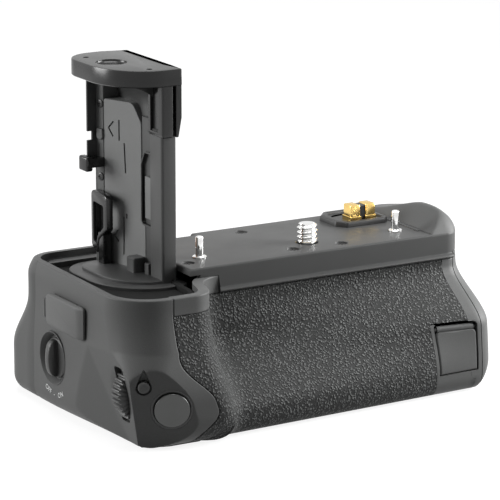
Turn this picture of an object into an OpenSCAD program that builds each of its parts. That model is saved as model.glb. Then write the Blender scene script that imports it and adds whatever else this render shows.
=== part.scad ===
// Battery grip that screws under a mirrorless camera, in millimetres.
// Origin: axis of the camera screw on the seat plane. +X: tray end, -Y: rubber front, +Z: up.
// Heights named h are measured from the underside of the body.

/* [Body] */
// Left end of the body at the rim, from the screw axis
left_x = -80; // [-92:0.5:-79]
// Right end of the body under the hump
right_x = 50.4; // [48:0.2:64]
// Front wall of the seat, from the screw axis
wall_front = 12; // [11:0.5:16]
// Rear edge of the seat, from the screw axis
seat_rear = 28.5; // [26:0.5:32]
// Front of the grip block at the rim
block_front = 29.5; // [28:0.5:34]
// Rear of the thumb rest at the rim
thumb_rear = 43; // [41:0.5:50]
// Wall of the casing
shell_t = 2.2; // [1.8:0.1:3]
// Skin of rubber on the front
rubber_t = 1.2; // [0.8:0.1:2]
// Radius of the rounded foot
foot_r = 5.5; // [4:0.5:7]
// Thickness of the seat plate
plate_t = 2; // [1.5:0.1:4]
// Thickness of the bottom plate
floor_t = 2; // [1.5:0.1:4]
// Rise of the hump at the right end
hump_rise = 6.2; // [3:0.2:9]

/* [Camera joint] */
// Major diameter of the camera screw
screw_d = 6.35; // [4:0.05:9.6]
// Length of the screw over the seat
screw_len = 6.2; // [4:0.1:9]
// Place of the left locating pin
pin_left_x = -38.4; // [-44:0.2:-30]
// Place of the right locating pin
pin_right_x = 31.9; // [24:0.2:36]
// Diameter of the locating pins
pin_d = 2.5; // [1.8:0.1:3.5]
// Length of the locating pins over the seat
pin_len = 6.6; // [3:0.2:9]
// Thread diameter of the tripod socket
socket_d = 6.35; // [4:0.05:9.6]
// Depth of the tripod socket
socket_len = 7; // [4.5:0.5:10]

/* [Screw drive] */
// Module of the two gears
gear_m = 1; // [0.8:0.05:1.1]
// Teeth of the gear on the camera screw
screw_teeth = 14; // [13:1:16]
// Teeth of the thumb wheel
wheel_teeth = 28; // [24:1:30]
// Thickness of both gears
gear_t = 2.6; // [2:0.1:4]

/* [Tower] */
// Rise of the tower over the seat plane
tower_rise = 61; // [50:0.5:75]
// Width of the tower head
head_w = 20.9; // [18:0.1:26]
// Depth of the tower head
head_d = 37.5; // [34:0.5:42]
// Thickness of the tower head
head_t = 5.2; // [4:0.2:8]
// Width of the tower's front beam
beam_w = 5; // [4:0.2:6]
// Depth of the tower's front beam
beam_d = 7.5; // [6:0.5:9]

/* [Controls] */
// Diameter of the shutter button
shutter_d = 10.8; // [8:0.2:11.6]
// Diameter of the small function button
function_d = 3.6; // [3:0.1:4.2]
// Radius of the main dial
dial_r = 9.5; // [8:0.1:10]
// Width of the main dial
dial_w = 4.6; // [3:0.1:4.8]
// Ribs on the main dial
dial_ribs = 36; // [24:1:48]
// Diameter of the power knob
knob_d = 13.4; // [10:0.2:14]
// Diameter of the rear buttons
rear_button_d = 5.6; // [4:0.2:6.4]
// Width of the port cover
port_w = 23; // [18:0.5:25]
// Height of the port cover
port_h = 10.2; // [8:0.2:11]

/* [Battery tray] */
// Length of one battery pack's space
pack_l = 57; // [50:0.5:59]
// Width of one battery pack's space
pack_w = 38.8; // [36:0.2:45]
// Thickness of one battery pack's space
pack_t = 21.4; // [19:0.2:23]
// Thickness of the tray's plates
tray_t = 0.8; // [0.6:0.1:1.2]

/* [Hidden] */
$fn = 48;
fit = 0.3;
run_fit = 0.05;

// Heights, from the bottom plate up to the seat
tray_z = floor_t + fit;
pack_z = tray_z + tray_t;
pack_top = pack_z + pack_w;
bridge_z = pack_top + fit;
bridge_t = 0.6;
gear_z = bridge_z + bridge_t + 0.2;
plate_z = gear_z + gear_t + 0.4;
body_h = plate_z + plate_t;
ledge_h = body_h - 8.4;
rim_h = body_h - 3;
tower_top = body_h + tower_rise;

// Tray and its bay, across and along the body
tray_y0 = -wall_front + shell_t + 1.2;
tray_y1 = tray_y0 + 2 * pack_t + tray_t;
divider_y = tray_y0 + pack_t;
rear_full = tray_y1 + 0.6 + shell_t;
cap_x = right_x - 3.2;
cap_top = ledge_h + 1.8;
post_l = 1.3;
end_t = 1.5;
tray_x1 = cap_x - post_l;
tray_x0 = tray_x1 - end_t - pack_l - end_t;
bay_wall_t = 2;
bay_wall_x = tray_x0 - fit - 2.1 - bay_wall_t;

// Swell of each side between the rim and its fullest height
left_swell = 1;
right_swell = 1.8;
block_swell = 8;
thumb_swell = 9;
finger_swell_l = 21.5;
finger_swell_r = 17;
// Heights where the swells start and how tall they are
left_swell_h = [36, 20];
right_swell_h = [44, 24];
block_swell_h = [42, 28];
thumb_swell_h = [33, 18];
finger_swell_lh = [27.5, 20];
finger_swell_rh = [37.5, 16];
rear_swell_h = [plate_z, 5];
// Plan corners: right side of the grip block and of the thumb rest, and their rounds
block_x = -50.5;
block_x_swell = 1.5;
block_x_swell_h = [30, 16];
valley_w = 5;
thumb_x = -46;
thumb_valley = 6;
left_rake = 0.8;
rim_lean = 3.5;
rim_lean_h = [rim_h - 5, 9];
round_thumb = 9;
round_front_top = 20;
round_front_low = 10;
round_front_h = [42, 24];
round_block = 8;
round_valley = 9;
round_end = 6;

// Flat facet of the shutter button and the shallow scoop of the dial beside it
facet_n = let (a = 24.8, t = 7) [-sin(a) * cos(t), -cos(a) * cos(t), -sin(t)];
facet_p = [left_x + 12.4, -block_front - 5.1, 12.6];
facet_t = [cos(24.8), -sin(24.8), 0];
scoop_x = left_x - 0.9;
scoop_top = 28.8;
scoop_turn = 9;
scoop_tilt = 7;

function ease(t) = let (c = min(max(t, 0), 1)) c * c * (3 - 2 * c);
function swell(h, from) = ease((from[0] - h) / from[1]);
function rise(h, from) = ease((h - from[0]) / from[1]);
function mix(a, b, t) = a + (b - a) * t;
function unit(v) = v / norm(v);
function foot(h) = h >= foot_r ? 0 : foot_r - sqrt(foot_r * foot_r - pow(foot_r - h, 2));

// Corners [x, y, radius] of the plan at height h, set in by e, from the thumb rest anticlockwise
function plan_corners(h, e) =
    let (f = e + foot(h),
         lean = rim_lean * rise(h, rim_lean_h),
         lx = left_x - left_swell * swell(h, left_swell_h),
         rx = right_x + right_swell * swell(h, right_swell_h),
         bx = block_x + block_x_swell * swell(h, block_x_swell_h),
         by = -block_front - block_swell * swell(h, block_swell_h),
         wl = -wall_front - finger_swell_l * swell(h, finger_swell_lh),
         wr = -wall_front - finger_swell_r * swell(h, finger_swell_rh),
         ry = seat_rear + (rear_full - seat_rear) * swell(h, rear_swell_h),
         ty = thumb_rear + thumb_swell * swell(h, thumb_swell_h) - lean,
         rf = mix(round_front_top, round_front_low, swell(h, round_front_h)))
    [[lx + left_rake + lean / 2 + f, ty - f, max(round_thumb - f, 0.5)],
     [lx + f, by + f, max(rf - f, 0.5)],
     [bx - f, by + f, max(round_block - f, 0.5)],
     [bx + valley_w - f, wl + f, round_valley + f],
     [rx - f, wr + f, max(round_end - f, 0.5)],
     [rx - f, ry - f, max(round_end - f, 0.5)],
     [thumb_x + thumb_valley - f, ry - f, round_valley + f],
     [thumb_x - f, ty - f, max(round_thumb - f, 0.5)]];

// Point at share t of the arc that rounds corner p between its neighbours a and b
function arc_at(a, p, b, t) =
    let (pa = [a.x - p.x, a.y - p.y],
         pb = [b.x - p.x, b.y - p.y],
         u = unit(pa),
         v = unit(pb),
         half = acos(min(max(u * v, -1), 1)) / 2,
         d = min(p.z / tan(half), 0.49 * norm(pa), 0.49 * norm(pb)),
         q = d * tan(half),
         c = [p.x, p.y] + unit(u + v) * q / sin(half),
         from = [p.x, p.y] + u * d - c,
         to = [p.x, p.y] + v * d - c,
         a0 = atan2(from.y, from.x),
         turn = (atan2(to.y, to.x) - a0 + 540) % 360 - 180)
    c + q * [cos(a0 + turn * t), sin(a0 + turn * t)];

// Plan point at station s: corner k is rounded from k to k + 0.5, the edge after it runs on to k + 1
function plan_at(s, h, e) =
    let (c = plan_corners(h, e),
         n = len(c),
         k = floor(s) % n,
         t = 2 * (s - floor(s)),
         here = function (i, w) arc_at(c[(i + n - 1) % n], c[i % n], c[(i + 1) % n], w))
    t <= 1 ? here(k, t) : mix(here(k, 1), here(k + 1, 0), t - 1);

// The scoop and the facet cut the grip block's corner back
function cut_back(p, e) =
    let (crease = mix(7.5, -3.7, min(p.z / scoop_top, 1)),
         d = min(tan(scoop_turn) * (crease - p.y), tan(scoop_tilt) * (scoop_top - p.z)),
         q = [d > 0 ? max(p.x, scoop_x + e + d) : p.x, p.y, p.z],
         over = (q - facet_p) * facet_n + e)
    over > 0 ? q - over * facet_n : q;

function skin(s, h, e) = let (q = plan_at(s, h, e)) cut_back([q.x, q.y, h], e);

// Rows of the casing's grid and its stations between the seams
edge_h = 0.2;
FOOT_ROWS = [for (i = [0:5]) edge_h + (foot_r - edge_h) * (1 - cos(18 * i))];
SIDE_ROWS = [for (i = [0:13]) mix(foot_r, ledge_h, (i + 0.5) / 14)];
RIM_ROWS = [ledge_h, ledge_h + 0.1, mix(ledge_h, rim_h, 0.5), rim_h];
ROWS = concat(FOOT_ROWS, SIDE_ROWS, RIM_ROWS);
LEDGE_ROW = len(FOOT_ROWS) + len(SIDE_ROWS);

seam_left_y = 31.5;
function left_station(h, y) =
    let (a = plan_at(0.5, h, 0), b = plan_at(1, h, 0)) 0.5 + 0.5 * (a.y - y) / (a.y - b.y);
function front_station(h, x) =
    let (a = plan_at(3.5, h, 0), b = plan_at(4, h, 0)) 3.5 + 0.5 * (x - a.x) / (b.x - a.x);
function right_station(h, y) =
    let (a = plan_at(4.5, h, 0), b = plan_at(5, h, 0)) 4.5 + 0.5 * (y - a.y) / (b.y - a.y);
function rubber_seam(h) = 1.575 + 0.42 * ease((31 - h) / 17) - 0.15 * ease((12 - h) / 10);
end_seam_y = seat_rear - round_end;

// Stations from a to b in n steps
function steps(a, b, n) = [for (i = [0:n]) mix(a, b, i / n)];

function control_stations(h) =
    let (from = left_station(h, seam_left_y))
    concat(steps(from, 1, 7), [for (i = [1:8]) 1 + i / 16], [for (i = [1:4]) mix(1.5, rubber_seam(h), i / 4)]);
function front_stations(h) =
    concat(steps(rubber_seam(h), 2, 1), [for (i = [1:5]) 2 + i / 10], [2.75], steps(3, 3.5, 6),
           [for (i = [1:5]) 3.5 + i / 10], [4.06, 4.12, 4.2, 4.3]);
VALLEY_STATION = 14;
function rear_stations(h) =
    concat([right_station(h, end_seam_y)], steps(5, 5.5, 6), [for (i = [1:5]) 5.5 + i / 10], steps(6.1, 6.5, 4),
           [6.75], steps(7, 7.5, 5), [7.75], steps(8, 8.5, 6), [8 + left_station(h, seam_left_y)]);

// Shell between two insets of the casing's skin, on a grid of rows and stations, for the cells kept;
// from row step on, the outer inset is zero
module panel(rows, stations, outer, inner, keep, step = 999) {
    grid = [for (h = rows) stations(h)];
    n = len(grid[0]);
    m = len(rows);
    size = n * m;
    points = concat([for (j = [0:m - 1], i = [0:n - 1]) skin(grid[j][i], rows[j], j < step ? outer : 0)],
                    [for (j = [0:m - 1], i = [0:n - 1]) skin(grid[j][i], rows[j], inner)]);
    on = function (i, j) i >= 0 && i < n - 1 && j >= 0 && j < m - 1 && keep(i, j);
    faces = [for (j = [0:m - 2], i = [0:n - 2]) if (on(i, j))
        let (a = j * n + i, b = a + n, c = b + 1, d = a + 1)
        each concat([[a, b, c], [a, c, d]],
                    [[a + size, c + size, b + size], [a + size, d + size, c + size]],
                    on(i, j - 1) ? [] : [[a, d, d + size], [a, d + size, a + size]],
                    on(i - 1, j) ? [] : [[b, a, a + size], [b, a + size, b + size]],
                    on(i, j + 1) ? [] : [[c, b, b + size], [c, b + size, c + size]],
                    on(i + 1, j) ? [] : [[d, c, c + size], [d, c + size, d + size]])];
    polyhedron(points = points, faces = faces, convexity = 8);
}

// Plan of the skin at height h between two stations, set in by e, as a polygon
module plan(h, e, from, to, n) {
    polygon([for (i = [0:n]) let (q = plan_at(mix(from, to, i / n), h, e)) [q.x, q.y]]);
}

// Sets what is drawn from the underside up into the frame of the seat plane
module base() { translate([0, 0, -body_h]) children(); }

// Box between two corners
module span(a, b) { translate(a) cube(b - a); }

// Local frame at p with its Z axis along direction v
module facing(p, v) {
    translate(p) rotate([0, acos(v.z / norm(v)), atan2(v.y, v.x)]) children();
}

// Spur gear outline with straight flanks, at module gear_m
module gear_outline(teeth) {
    r = gear_m * teeth / 2;
    step = 360 / teeth;
    polygon([for (i = [0:teeth - 1], q = [[-0.34, -1.25], [-0.13, 0.9], [0.13, 0.9], [0.34, -1.25]])
        (r + gear_m * q[1]) * [cos(step * (i + q[0])), sin(step * (i + q[0]))]]);
}

floor_in = foot(edge_h) + rubber_t + 1.6 + 0.1;
frame_in = rubber_t + 1.6;
socket_y = -18.5;
socket_r = socket_d / 2 + 3.3;
BOTTOM_SCREWS = [[left_x + 12, 28], [left_x + 16, -22], [26, -19], [30, 28]];
bottom_screw_r = 1.8;

// Plan of the floor inside the foot, cut back behind the scoop and the facet
module floor_plan() {
    polygon([for (i = [0:95]) let (q = plan_at(i / 12, foot_r, floor_in), c = cut_back([q.x, q.y, 0], shell_t + 0.1))
        [c.x, c.y]]);
}
module bottom_plate() {
    color("#2b2c2b") base() linear_extrude(floor_t) difference() {
        union() {
            floor_plan();
            translate([0, tray_y0]) square([cap_x - fit, tray_y1 - 6 - tray_y0]);
        }
        translate([0, socket_y]) circle(socket_r);
        for (p = BOTTOM_SCREWS) translate(p) circle(bottom_screw_r);
    }
}

module tripod_socket() {
    color("#b9b6ae") base() translate([0, socket_y]) difference() {
        cylinder(r = socket_r, h = socket_len + 1.2);
        translate([0, 0, -1]) cylinder(d = socket_d, h = socket_len + 1);
    }
}

module bottom_screws() {
    color("#3a3b3a") base() for (p = BOTTOM_SCREWS) translate([p.x, p.y, 0.2])
        cylinder(r = bottom_screw_r, h = floor_t - 0.2);
}

wheel_r = gear_m * wheel_teeth / 2;
wheel_y = wheel_r + gear_m * screw_teeth / 2;
wheel_out = wheel_r + gear_m;
REAR_BUTTONS = [left_x + 12.4, left_x + 19.8, left_x + 27.2];
rear_button_h = 37;
rear_button_r = rear_button_d / 2;
button_flange_r = rear_button_r + 0.7;
button_wall_y = thumb_rear - rim_lean * rise(rear_button_h + button_flange_r, rim_lean_h);

module rear_shell() {
    color("#3b3d3c") base() difference() {
        panel(concat(ROWS, [plate_z]), function (h) rear_stations(h), 0, shell_t,
              function (i, j) rear_keep(i, j));
        cap_space(fit);
        span([-wheel_out - fit, wheel_y, gear_z - fit], [wheel_out + fit, rear_full + 1, plate_z + 1]);
        for (x = REAR_BUTTONS) translate([x, button_wall_y - shell_t - 1, rear_button_h]) rotate([-90, 0, 0])
            cylinder(r = rear_button_r + run_fit, h = thumb_rear - button_wall_y + shell_t + 2);
    }
}
// The thumb rest stops at the rim, the rest of the shell meets the seat plate
function rear_keep(i, j) = i <= 15 || concat(ROWS, [plate_z])[j] < rim_h;
// Space of the tray cap, with a gap around it
module cap_space(gap) { span([cap_x - gap, -99, -1], [99, 99, cap_top + gap]); }

module thumb_rubber() {
    color("#2a2b2b") base() panel(ROWS, function (h) rear_stations(h), -0.6, 0,
        function (i, j) i >= 21 && i <= 27 && j >= 7 && j <= 14);
}

door_x0 = 30.6;
door_x1 = 45.6;
door_z0 = 7.2;
door_z1 = 20.6;
door_pin_r = 0.6;
door_pin_z = door_z1 + 0.4;
door_pin_in = 1.35;
door_a = skin(front_station(door_pin_z, door_x0), door_pin_z, 0);
door_b = skin(front_station(door_pin_z, door_x1), door_pin_z, 0);
door_turn = atan2(door_b.y - door_a.y, door_b.x - door_a.x);
door_pin_p = (door_a + door_b) / 2 + door_pin_in * [-sin(door_turn), cos(door_turn), 0];
door_l = norm(door_b - door_a);
door_pin_l = door_l + 2.4;
surround_x = door_x0 - 1.2;
surround_z = door_z1 + 2.6;
strip_x = 42.6;

module door_window() {
    span([door_x0, -wall_front - finger_swell_r - 9, door_z0], [door_x1, -wall_front - 4, door_pin_z + 1.6]);
}
// Rod on the door's hinge line, which runs along the wall
module door_pin_rod(r, len) {
    translate(door_pin_p) rotate([0, 90, door_turn]) cylinder(r = r, h = len, center = true);
}
// Part of the front skin that is hard plastic: round the cord door and along the tray end
module hard_zone() {
    far = rear_full + 40;
    span([surround_x, -far, -1], [right_x + 9, 0, surround_z]);
    span([strip_x, -far, -1], [right_x + 9, 0, body_h]);
}

module front_shell() {
    color("#333534") base() difference() {
        panel(ROWS, function (h) front_stations(h), rubber_t, frame_in,
              function (i, j) j < LEDGE_ROW || i < VALLEY_STATION, LEDGE_ROW + 1);
        cap_space(fit);
        door_window();
        door_pin_rod(door_pin_r, door_pin_l);
    }
}

module front_skin() {
    panel(ROWS, function (h) front_stations(h), 0, rubber_t, function (i, j) j < LEDGE_ROW);
}
module front_rubber() {
    color("#2f3130") base() difference() {
        front_skin();
        hard_zone();
    }
}
module door_frame() {
    color("#3f4140") base() difference() {
        intersection() {
            front_skin();
            hard_zone();
        }
        cap_space(fit);
        door_window();
        door_pin_rod(door_pin_r, door_pin_l);
    }
}

shutter_r = shutter_d / 2;
shutter_bezel_r = shutter_r + 1;
function_r = function_d / 2;
function_p = facet_p - 8.4 * facet_t + 7.4 * cross(facet_n, facet_t) / norm(cross(facet_n, facet_t));
dial_y = -23.9;
dial_h = 16.3;
dial_p = [scoop_x + tan(scoop_tilt) * (scoop_top - dial_h) - 1.8 + dial_r, dial_y, dial_h];
dial_slot_h = 8.9;
knob_y = 17.6;
knob_h = 17.6;
knob_r = knob_d / 2;
knob_rim_r = knob_r + 1.8;
knob_x = left_x - 0.75;
port_y0 = -3.6;
port_y1 = port_y0 + port_w;
port_z0 = 28;
port_z1 = port_z0 + port_h;
port_x = left_x - 0.3;
port_t = 1.6;
port_pin_r = 0.45;
port_pin = [port_x - port_t / 2, port_y1 + 1.2];
lug_t = 1;
lug_gap = 0.2;
port_margin = 2.4;

module port_lugs() {
    for (z = [port_z0 - lug_t - lug_gap, port_z1 + lug_gap])
        span([port_x - port_t, port_pin.y - 0.9, z], [left_x + shell_t + 0.6, port_pin.y + 0.9, z + lug_t]);
}
module port_window() {
    span([left_x - 3, port_y0 + port_margin, port_z0 + 1.8], [left_x + 5, port_y1 - port_margin, port_z1 - 1.8]);
}

module control_skin() { panel(ROWS, function (h) control_stations(h), 0, shell_t, function (i, j) true); }
module control_housing() {
    color("#3b3d3c") base() difference() {
        control_skin();
        facing(facet_p - 6 * facet_n, facet_n) cylinder(r = shutter_bezel_r, h = 9);
        facing(function_p - 5 * facet_n, facet_n) cylinder(r = function_r + run_fit, h = 7);
        span([left_x - 3, dial_y - dial_w / 2 - fit, dial_h - dial_slot_h],
             [left_x + 6, dial_y + dial_w / 2 + fit, dial_h + dial_slot_h]);
        translate([left_x - 4, knob_y, knob_h]) rotate([0, 90, 0]) cylinder(r = knob_rim_r, h = 10);
        port_window();
        port_lugs();
    }
}

hump_x = 39;
hump_crest = 46.5;
axle_r = 1.5;
pivot_r = 1.5;
neck_d = screw_d - 0.6;
PLATE_SCREWS = [[-45, -4.4], [-8.4, -5.5], [8.5, -6.5], [-11.2, 21.7]];
plate_screw_r = 1.8;
plate_x = -48.5;
seat_notch = 2.6;
wall_x = -38.6;
PINS = [[pin_left_x, 0.3], [pin_right_x, -1.3]];
pin_stem_d = pin_d - 0.6;
pin_flange_d = pin_d + 2;
pin_flange_t = 0.4;
pin_sink = 0.4;
pin_tip = 0.4;
pad_sink = 0.6;

// Plan of the seat, rounded at the tray end and set in by e
module seat_plan(e) {
    x1 = right_x - e;
    y0 = -wall_front + e;
    y1 = seat_rear - e;
    r = round_end - e;
    translate([plate_x, y0]) square([x1 - r - plate_x, y1 - y0]);
    translate([x1 - r, y0 + r]) square([r, y1 - y0 - 2 * r]);
    for (y = [y0 + r, y1 - r]) translate([x1 - r, y]) circle(r);
}

module top_cover() {
    color("#3d3f3e") base() difference() {
        union() {
            translate([0, 0, plate_z]) linear_extrude(plate_t) seat_plan(0);
            span([thumb_x + 1, -wall_front, rim_h], [wall_x, -wall_front + shell_t, plate_z]);
            translate([0, 0, ledge_h]) linear_extrude(plate_z - ledge_h) difference() {
                seat_plan(0);
                seat_plan(shell_t);
                translate([plate_x - 1, -99]) square([wall_x - plate_x + 1, 199]);
                translate([plate_x, end_seam_y]) square(199);
            }
            hump();
        }
        cap_space(fit);
        translate([0, 0, plate_z - 1]) cylinder(d = screw_d + 2 * fit, h = plate_t + 2);
        translate([0, 0, body_h - pad_sink]) linear_extrude(9) pad_plan();
        for (p = PLATE_SCREWS) translate([p.x, p.y, plate_z - 1]) cylinder(r = plate_screw_r, h = plate_t + 2);
        for (p = PINS) translate([p.x, p.y, 0]) {
            translate([0, 0, plate_z - 1]) cylinder(d = pin_stem_d, h = plate_t + 2);
            translate([0, 0, body_h - pin_sink]) cylinder(d = pin_flange_d, h = 9);
        }
        span([plate_x - 1, seat_rear - seat_notch, plate_z - 1], [-26, seat_rear + 1, body_h + 1]);
    }
}
// Ridge at the tray end: a ramp from the seat to a crest, rounded over the end and the front corner
module hump() {
    top = body_h + hump_rise;
    intersection() {
        translate([0, 99, 0]) rotate([90, 0, 0]) linear_extrude(198)
            polygon([[hump_x, plate_z], [hump_x, body_h], [hump_x + 1.5, body_h + 0.6], [hump_crest - 1.6, top - 0.5],
                     [hump_crest, top], [hump_crest + 1.6, top - 0.7], [right_x - 0.9, body_h + 2.2],
                     [right_x, body_h - 0.6], [right_x, plate_z]]);
        rotate([90, 0, 90]) linear_extrude(199)
            polygon([[-wall_front, plate_z], [-wall_front, body_h - 0.5], [-wall_front + 0.8, body_h + 1.6],
                     [-wall_front + 3.4, body_h + hump_rise * 0.72], [-wall_front + 6, top - 0.4],
                     [-wall_front + 9, top], [4, top - 0.4], [seat_rear - 8, body_h + 2.6], [seat_rear, body_h + 1],
                     [seat_rear, plate_z]]);
        translate([0, 0, plate_z]) linear_extrude(99) seat_plan(0);
    }
}

module plate_screws() {
    color("#232423") base() for (p = PLATE_SCREWS) translate([p.x, p.y, plate_z])
        cylinder(r = plate_screw_r, h = plate_t - 0.25);
}

module locating_pins() {
    color("#d8d8d4") base() for (p = PINS) translate([p.x, p.y, 0]) {
        translate([0, 0, plate_z]) cylinder(d = pin_stem_d, h = plate_t);
        translate([0, 0, body_h - pin_sink]) cylinder(d = pin_flange_d, h = pin_sink + pin_flange_t);
        translate([0, 0, body_h]) cylinder(d = pin_d, h = pin_len - pin_tip);
        translate([0, 0, body_h + pin_len - pin_tip]) cylinder(d1 = pin_d, d2 = pin_d - 0.8, h = pin_tip);
    }
}

pad_x0 = 18.4;
pad_x1 = 37;
pad_y0 = 9.4;
pad_t = 1.7;
contact_h = 4.4;
contact_x = 24;
contact_y = 12.6;
contact_w = 3.6;
contact_d = 4.6;
core_w = 2;

module pad_plan() {
    polygon([[pad_x0 + 2.5, pad_y0], [pad_x1 - 2, pad_y0], [pad_x1, pad_y0 + 2], [pad_x1, seat_rear - 2],
             [pad_x0 + 3.5, seat_rear - 2], [pad_x0, seat_rear - 6], [pad_x0, pad_y0 + 3.5]]);
}
module connector_pad() {
    color("#1b1c1c") base() translate([0, 0, body_h - pad_sink]) linear_extrude(pad_t + pad_sink) pad_plan();
}
module connector_core() {
    color("#141515") base() translate([contact_x, contact_y, body_h + pad_t]) {
        translate([contact_w, 0, 0]) cube([core_w, contact_d, contact_h - 0.3]);
    }
}
module connector_contacts() {
    color("#d9a72c") base() for (x = [contact_x, contact_x + contact_w + core_w])
        translate([x, contact_y - 0.2, body_h + pad_t]) cube([contact_w, contact_d + 0.4, contact_h]);
}

gasket_t = 1.4;
platform_z = rim_h - 3;
block_from = 7;
block_to = 11;

module rim_gasket() {
    color("#161717") base() translate([0, 0, platform_z]) linear_extrude(rim_h - platform_z + 0.5) difference() {
        plan(rim_h, frame_in, block_from, block_to, 96);
        plan(rim_h, frame_in + gasket_t, block_from, block_to, 96);
        span_plan(thumb_x - 2.2, 99);
        translate([head_x + 8, head_y - 2]) square([head_w + 8, head_d + 4]);
    }
}
// Half plane right of x, as a wide square
module span_plan(x, size) { translate([x, -size]) square([size, 2 * size]); }

floor_rise = 0.5;
foot_rise = 0.7;
foot_margin = 1.5;
step_rise = 1.7;
step_inset = 2.4;
well_corner = [16, 19];
well_round = 9;

// Outline of the camera's battery well, widened by a margin and closed along a straight right side
function well_points(margin, right) = concat(
    [for (a = [180:7.5:270]) [head_x + well_corner.x + (well_corner.x + margin) * cos(a),
                              head_y + well_corner.y + (well_corner.y + margin) * sin(a)]],
    [[right, head_y - margin], [right, column_y1 + margin]],
    [for (a = [90:10:180]) [head_x + well_round + (well_round + margin) * cos(a),
                            column_y1 - well_round + (well_round + margin) * sin(a)]]);

// Thin floor inside the rim, two steps of battery outline, and a raised foot under each wall of the tower
module tower_platform() {
    color("#353736") base() translate([0, 0, platform_z]) {
        linear_extrude(floor_rise) difference() {
            plan(rim_h, frame_in + gasket_t, block_from, block_to, 96);
            span_plan(thumb_x - 2.2, 99);
        }
        linear_extrude(foot_rise) polygon(well_points(foot_margin, thumb_x - 2.2));
        linear_extrude(step_rise) polygon(well_points(-step_inset, thumb_x - 3));
        linear_extrude(column_z - platform_z) {
            translate([beam_x, beam_y]) square([beam_w, beam_d]);
            translate([beam_x1 - web_t - 1, web_y]) square([web_t + 1, column_y1 - flange_t - web_y]);
            translate([flange_x, column_y1 - flange_t]) square([beam_x1 - flange_x, flange_t]);
            translate([flange_x - 0.6, clip_y - clip_t]) square([beam_x1 - web_t - 0.8 - flange_x, clip_t]);
        }
    }
}

beam_x = -54.3;
beam_x1 = beam_x + beam_w;
beam_y = -5;
web_t = 2.7;
web_y = beam_y + beam_d;
head_y = -7;
column_y1 = head_y + head_d;
flange_t = 2;
flange_x = beam_x - 6;
head_x1 = beam_x1 + 0.5;
head_x = head_x1 - head_w;
head_z = tower_top - head_t;
skirt_h = 15.8;
skirt_z = head_z - skirt_h;
column_z = rim_h + 0.9;
gusset_h = 8;

module tower_column() {
    color("#383a39") base() {
        span([beam_x, beam_y, column_z], [beam_x1, web_y, skirt_z]);
        span([beam_x1 - web_t, web_y, column_z], [beam_x1, column_y1 - flange_t, head_z]);
        span([flange_x, column_y1 - flange_t, column_z], [beam_x1, column_y1, head_z]);
        translate([0, column_y1 - flange_t, 0]) rotate([90, 0, 0]) linear_extrude(column_y1 - flange_t - web_y)
            polygon([[beam_x1 - web_t, head_z - gusset_h], [beam_x1 - web_t, head_z], [head_x + 4, head_z]]);
    }
}

window_z = column_z + 14;
window_h = 17;
window_d = 4.4;
plate_top = head_z - gusset_h - 0.6;

module tower_plate() {
    color("#565857") base() translate([beam_x1 - web_t - 1, web_y, 0]) difference() {
        translate([0, 0, column_z]) cube([1, column_y1 - flange_t - web_y, plate_top - column_z]);
        translate([-1, 0.6, window_z]) cube([3, window_d, window_h]);
    }
}

notch_n = 7;
notch_d = 0.9;
module tower_head() {
    pitch = (head_d - 9) / notch_n;
    color("#313332") base() {
        difference() {
            translate([0, 0, head_z]) linear_extrude(head_t) difference() {
                union() {
                    translate([head_x + 6, head_y]) square([head_w - 6, head_d]);
                    translate([head_x, head_y + 6.5]) square([6, head_d - 12.5]);
                    translate([head_x + 6, head_y + head_d - 6]) circle(6);
                    polygon([[head_x, head_y + 6.6], [head_x + 6.9, head_y], [head_x + 6.9, head_y + 7]]);
                }
                for (i = [0:notch_n - 1]) translate([head_x1 - notch_d, head_y + 8 + i * pitch])
                    square([notch_d + 1, pitch * 0.5]);
            }
            translate([head_x + 8, head_y + head_d / 2 + 1, tower_top - 0.9]) cylinder(r = 4.6, h = 2);
            for (p = [[head_x + 5, head_y + head_d - 7], [head_x + 12.5, head_y + 4]])
                translate([p.x, p.y, tower_top - 2]) cylinder(r = 0.9, h = 3);
        }
        difference() {
            span([beam_x - 0.5, head_y + 0.4, skirt_z], [head_x1 + 0.8, web_y, head_z]);
            span([beam_x - 1, head_y + 3, skirt_z + 1.5], [beam_x + 0.5, web_y - 1.2, head_z]);
            span([head_x1 - 2.2, head_y - 1, skirt_z - 1], [head_x1 - 1.2, head_y + 2.6, head_z]);
        }
    }
}

module tower_contacts() {
    pitch = (head_d - 9) / notch_n;
    color("#d2a441") base() for (i = [0:notch_n - 1])
        span([head_x1 - notch_d, head_y + 8 + i * pitch, head_z + 0.6],
             [head_x1 - notch_d + 0.4, head_y + 8 + (i + 0.5) * pitch, tower_top - 0.6]);
}

clip_y = column_y1 - flange_t;
clip_t = 1.4;
module tower_clip() {
    color("#1d1e1e") base() difference() {
        span([flange_x - 0.6, clip_y - clip_t, column_z], [beam_x1 - web_t - 1.4, clip_y, column_z + 22]);
        span([flange_x + 1.4, clip_y - clip_t - 1, column_z + 4], [flange_x + 4.2, clip_y + 1, column_z + 19]);
    }
}
tab_z = column_z + 27.4;
low_screw_z = column_z + 24;
module tower_tab() {
    color("#1a1b1b") base() {
        span([flange_x - 4, clip_y - 2.4, tab_z], [flange_x + 3.4, clip_y, tab_z + 3.4]);
        span([flange_x - 4, clip_y - 3.4, tab_z - 0.6], [flange_x - 1.6, clip_y, tab_z + 4]);
    }
}
module tower_screws() {
    color("#8c8c88") base() for (z = [low_screw_z, plate_top - 2]) translate([flange_x + 3.7, clip_y, z])
        rotate([90, 0, 0]) cylinder(r = 1.5, h = 0.6);
}
module tower_flex() {
    color("#b5762a") base() span([beam_x1, web_y + 8, column_z], [beam_x1 + 0.25, web_y + 16, head_z]);
}

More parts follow.
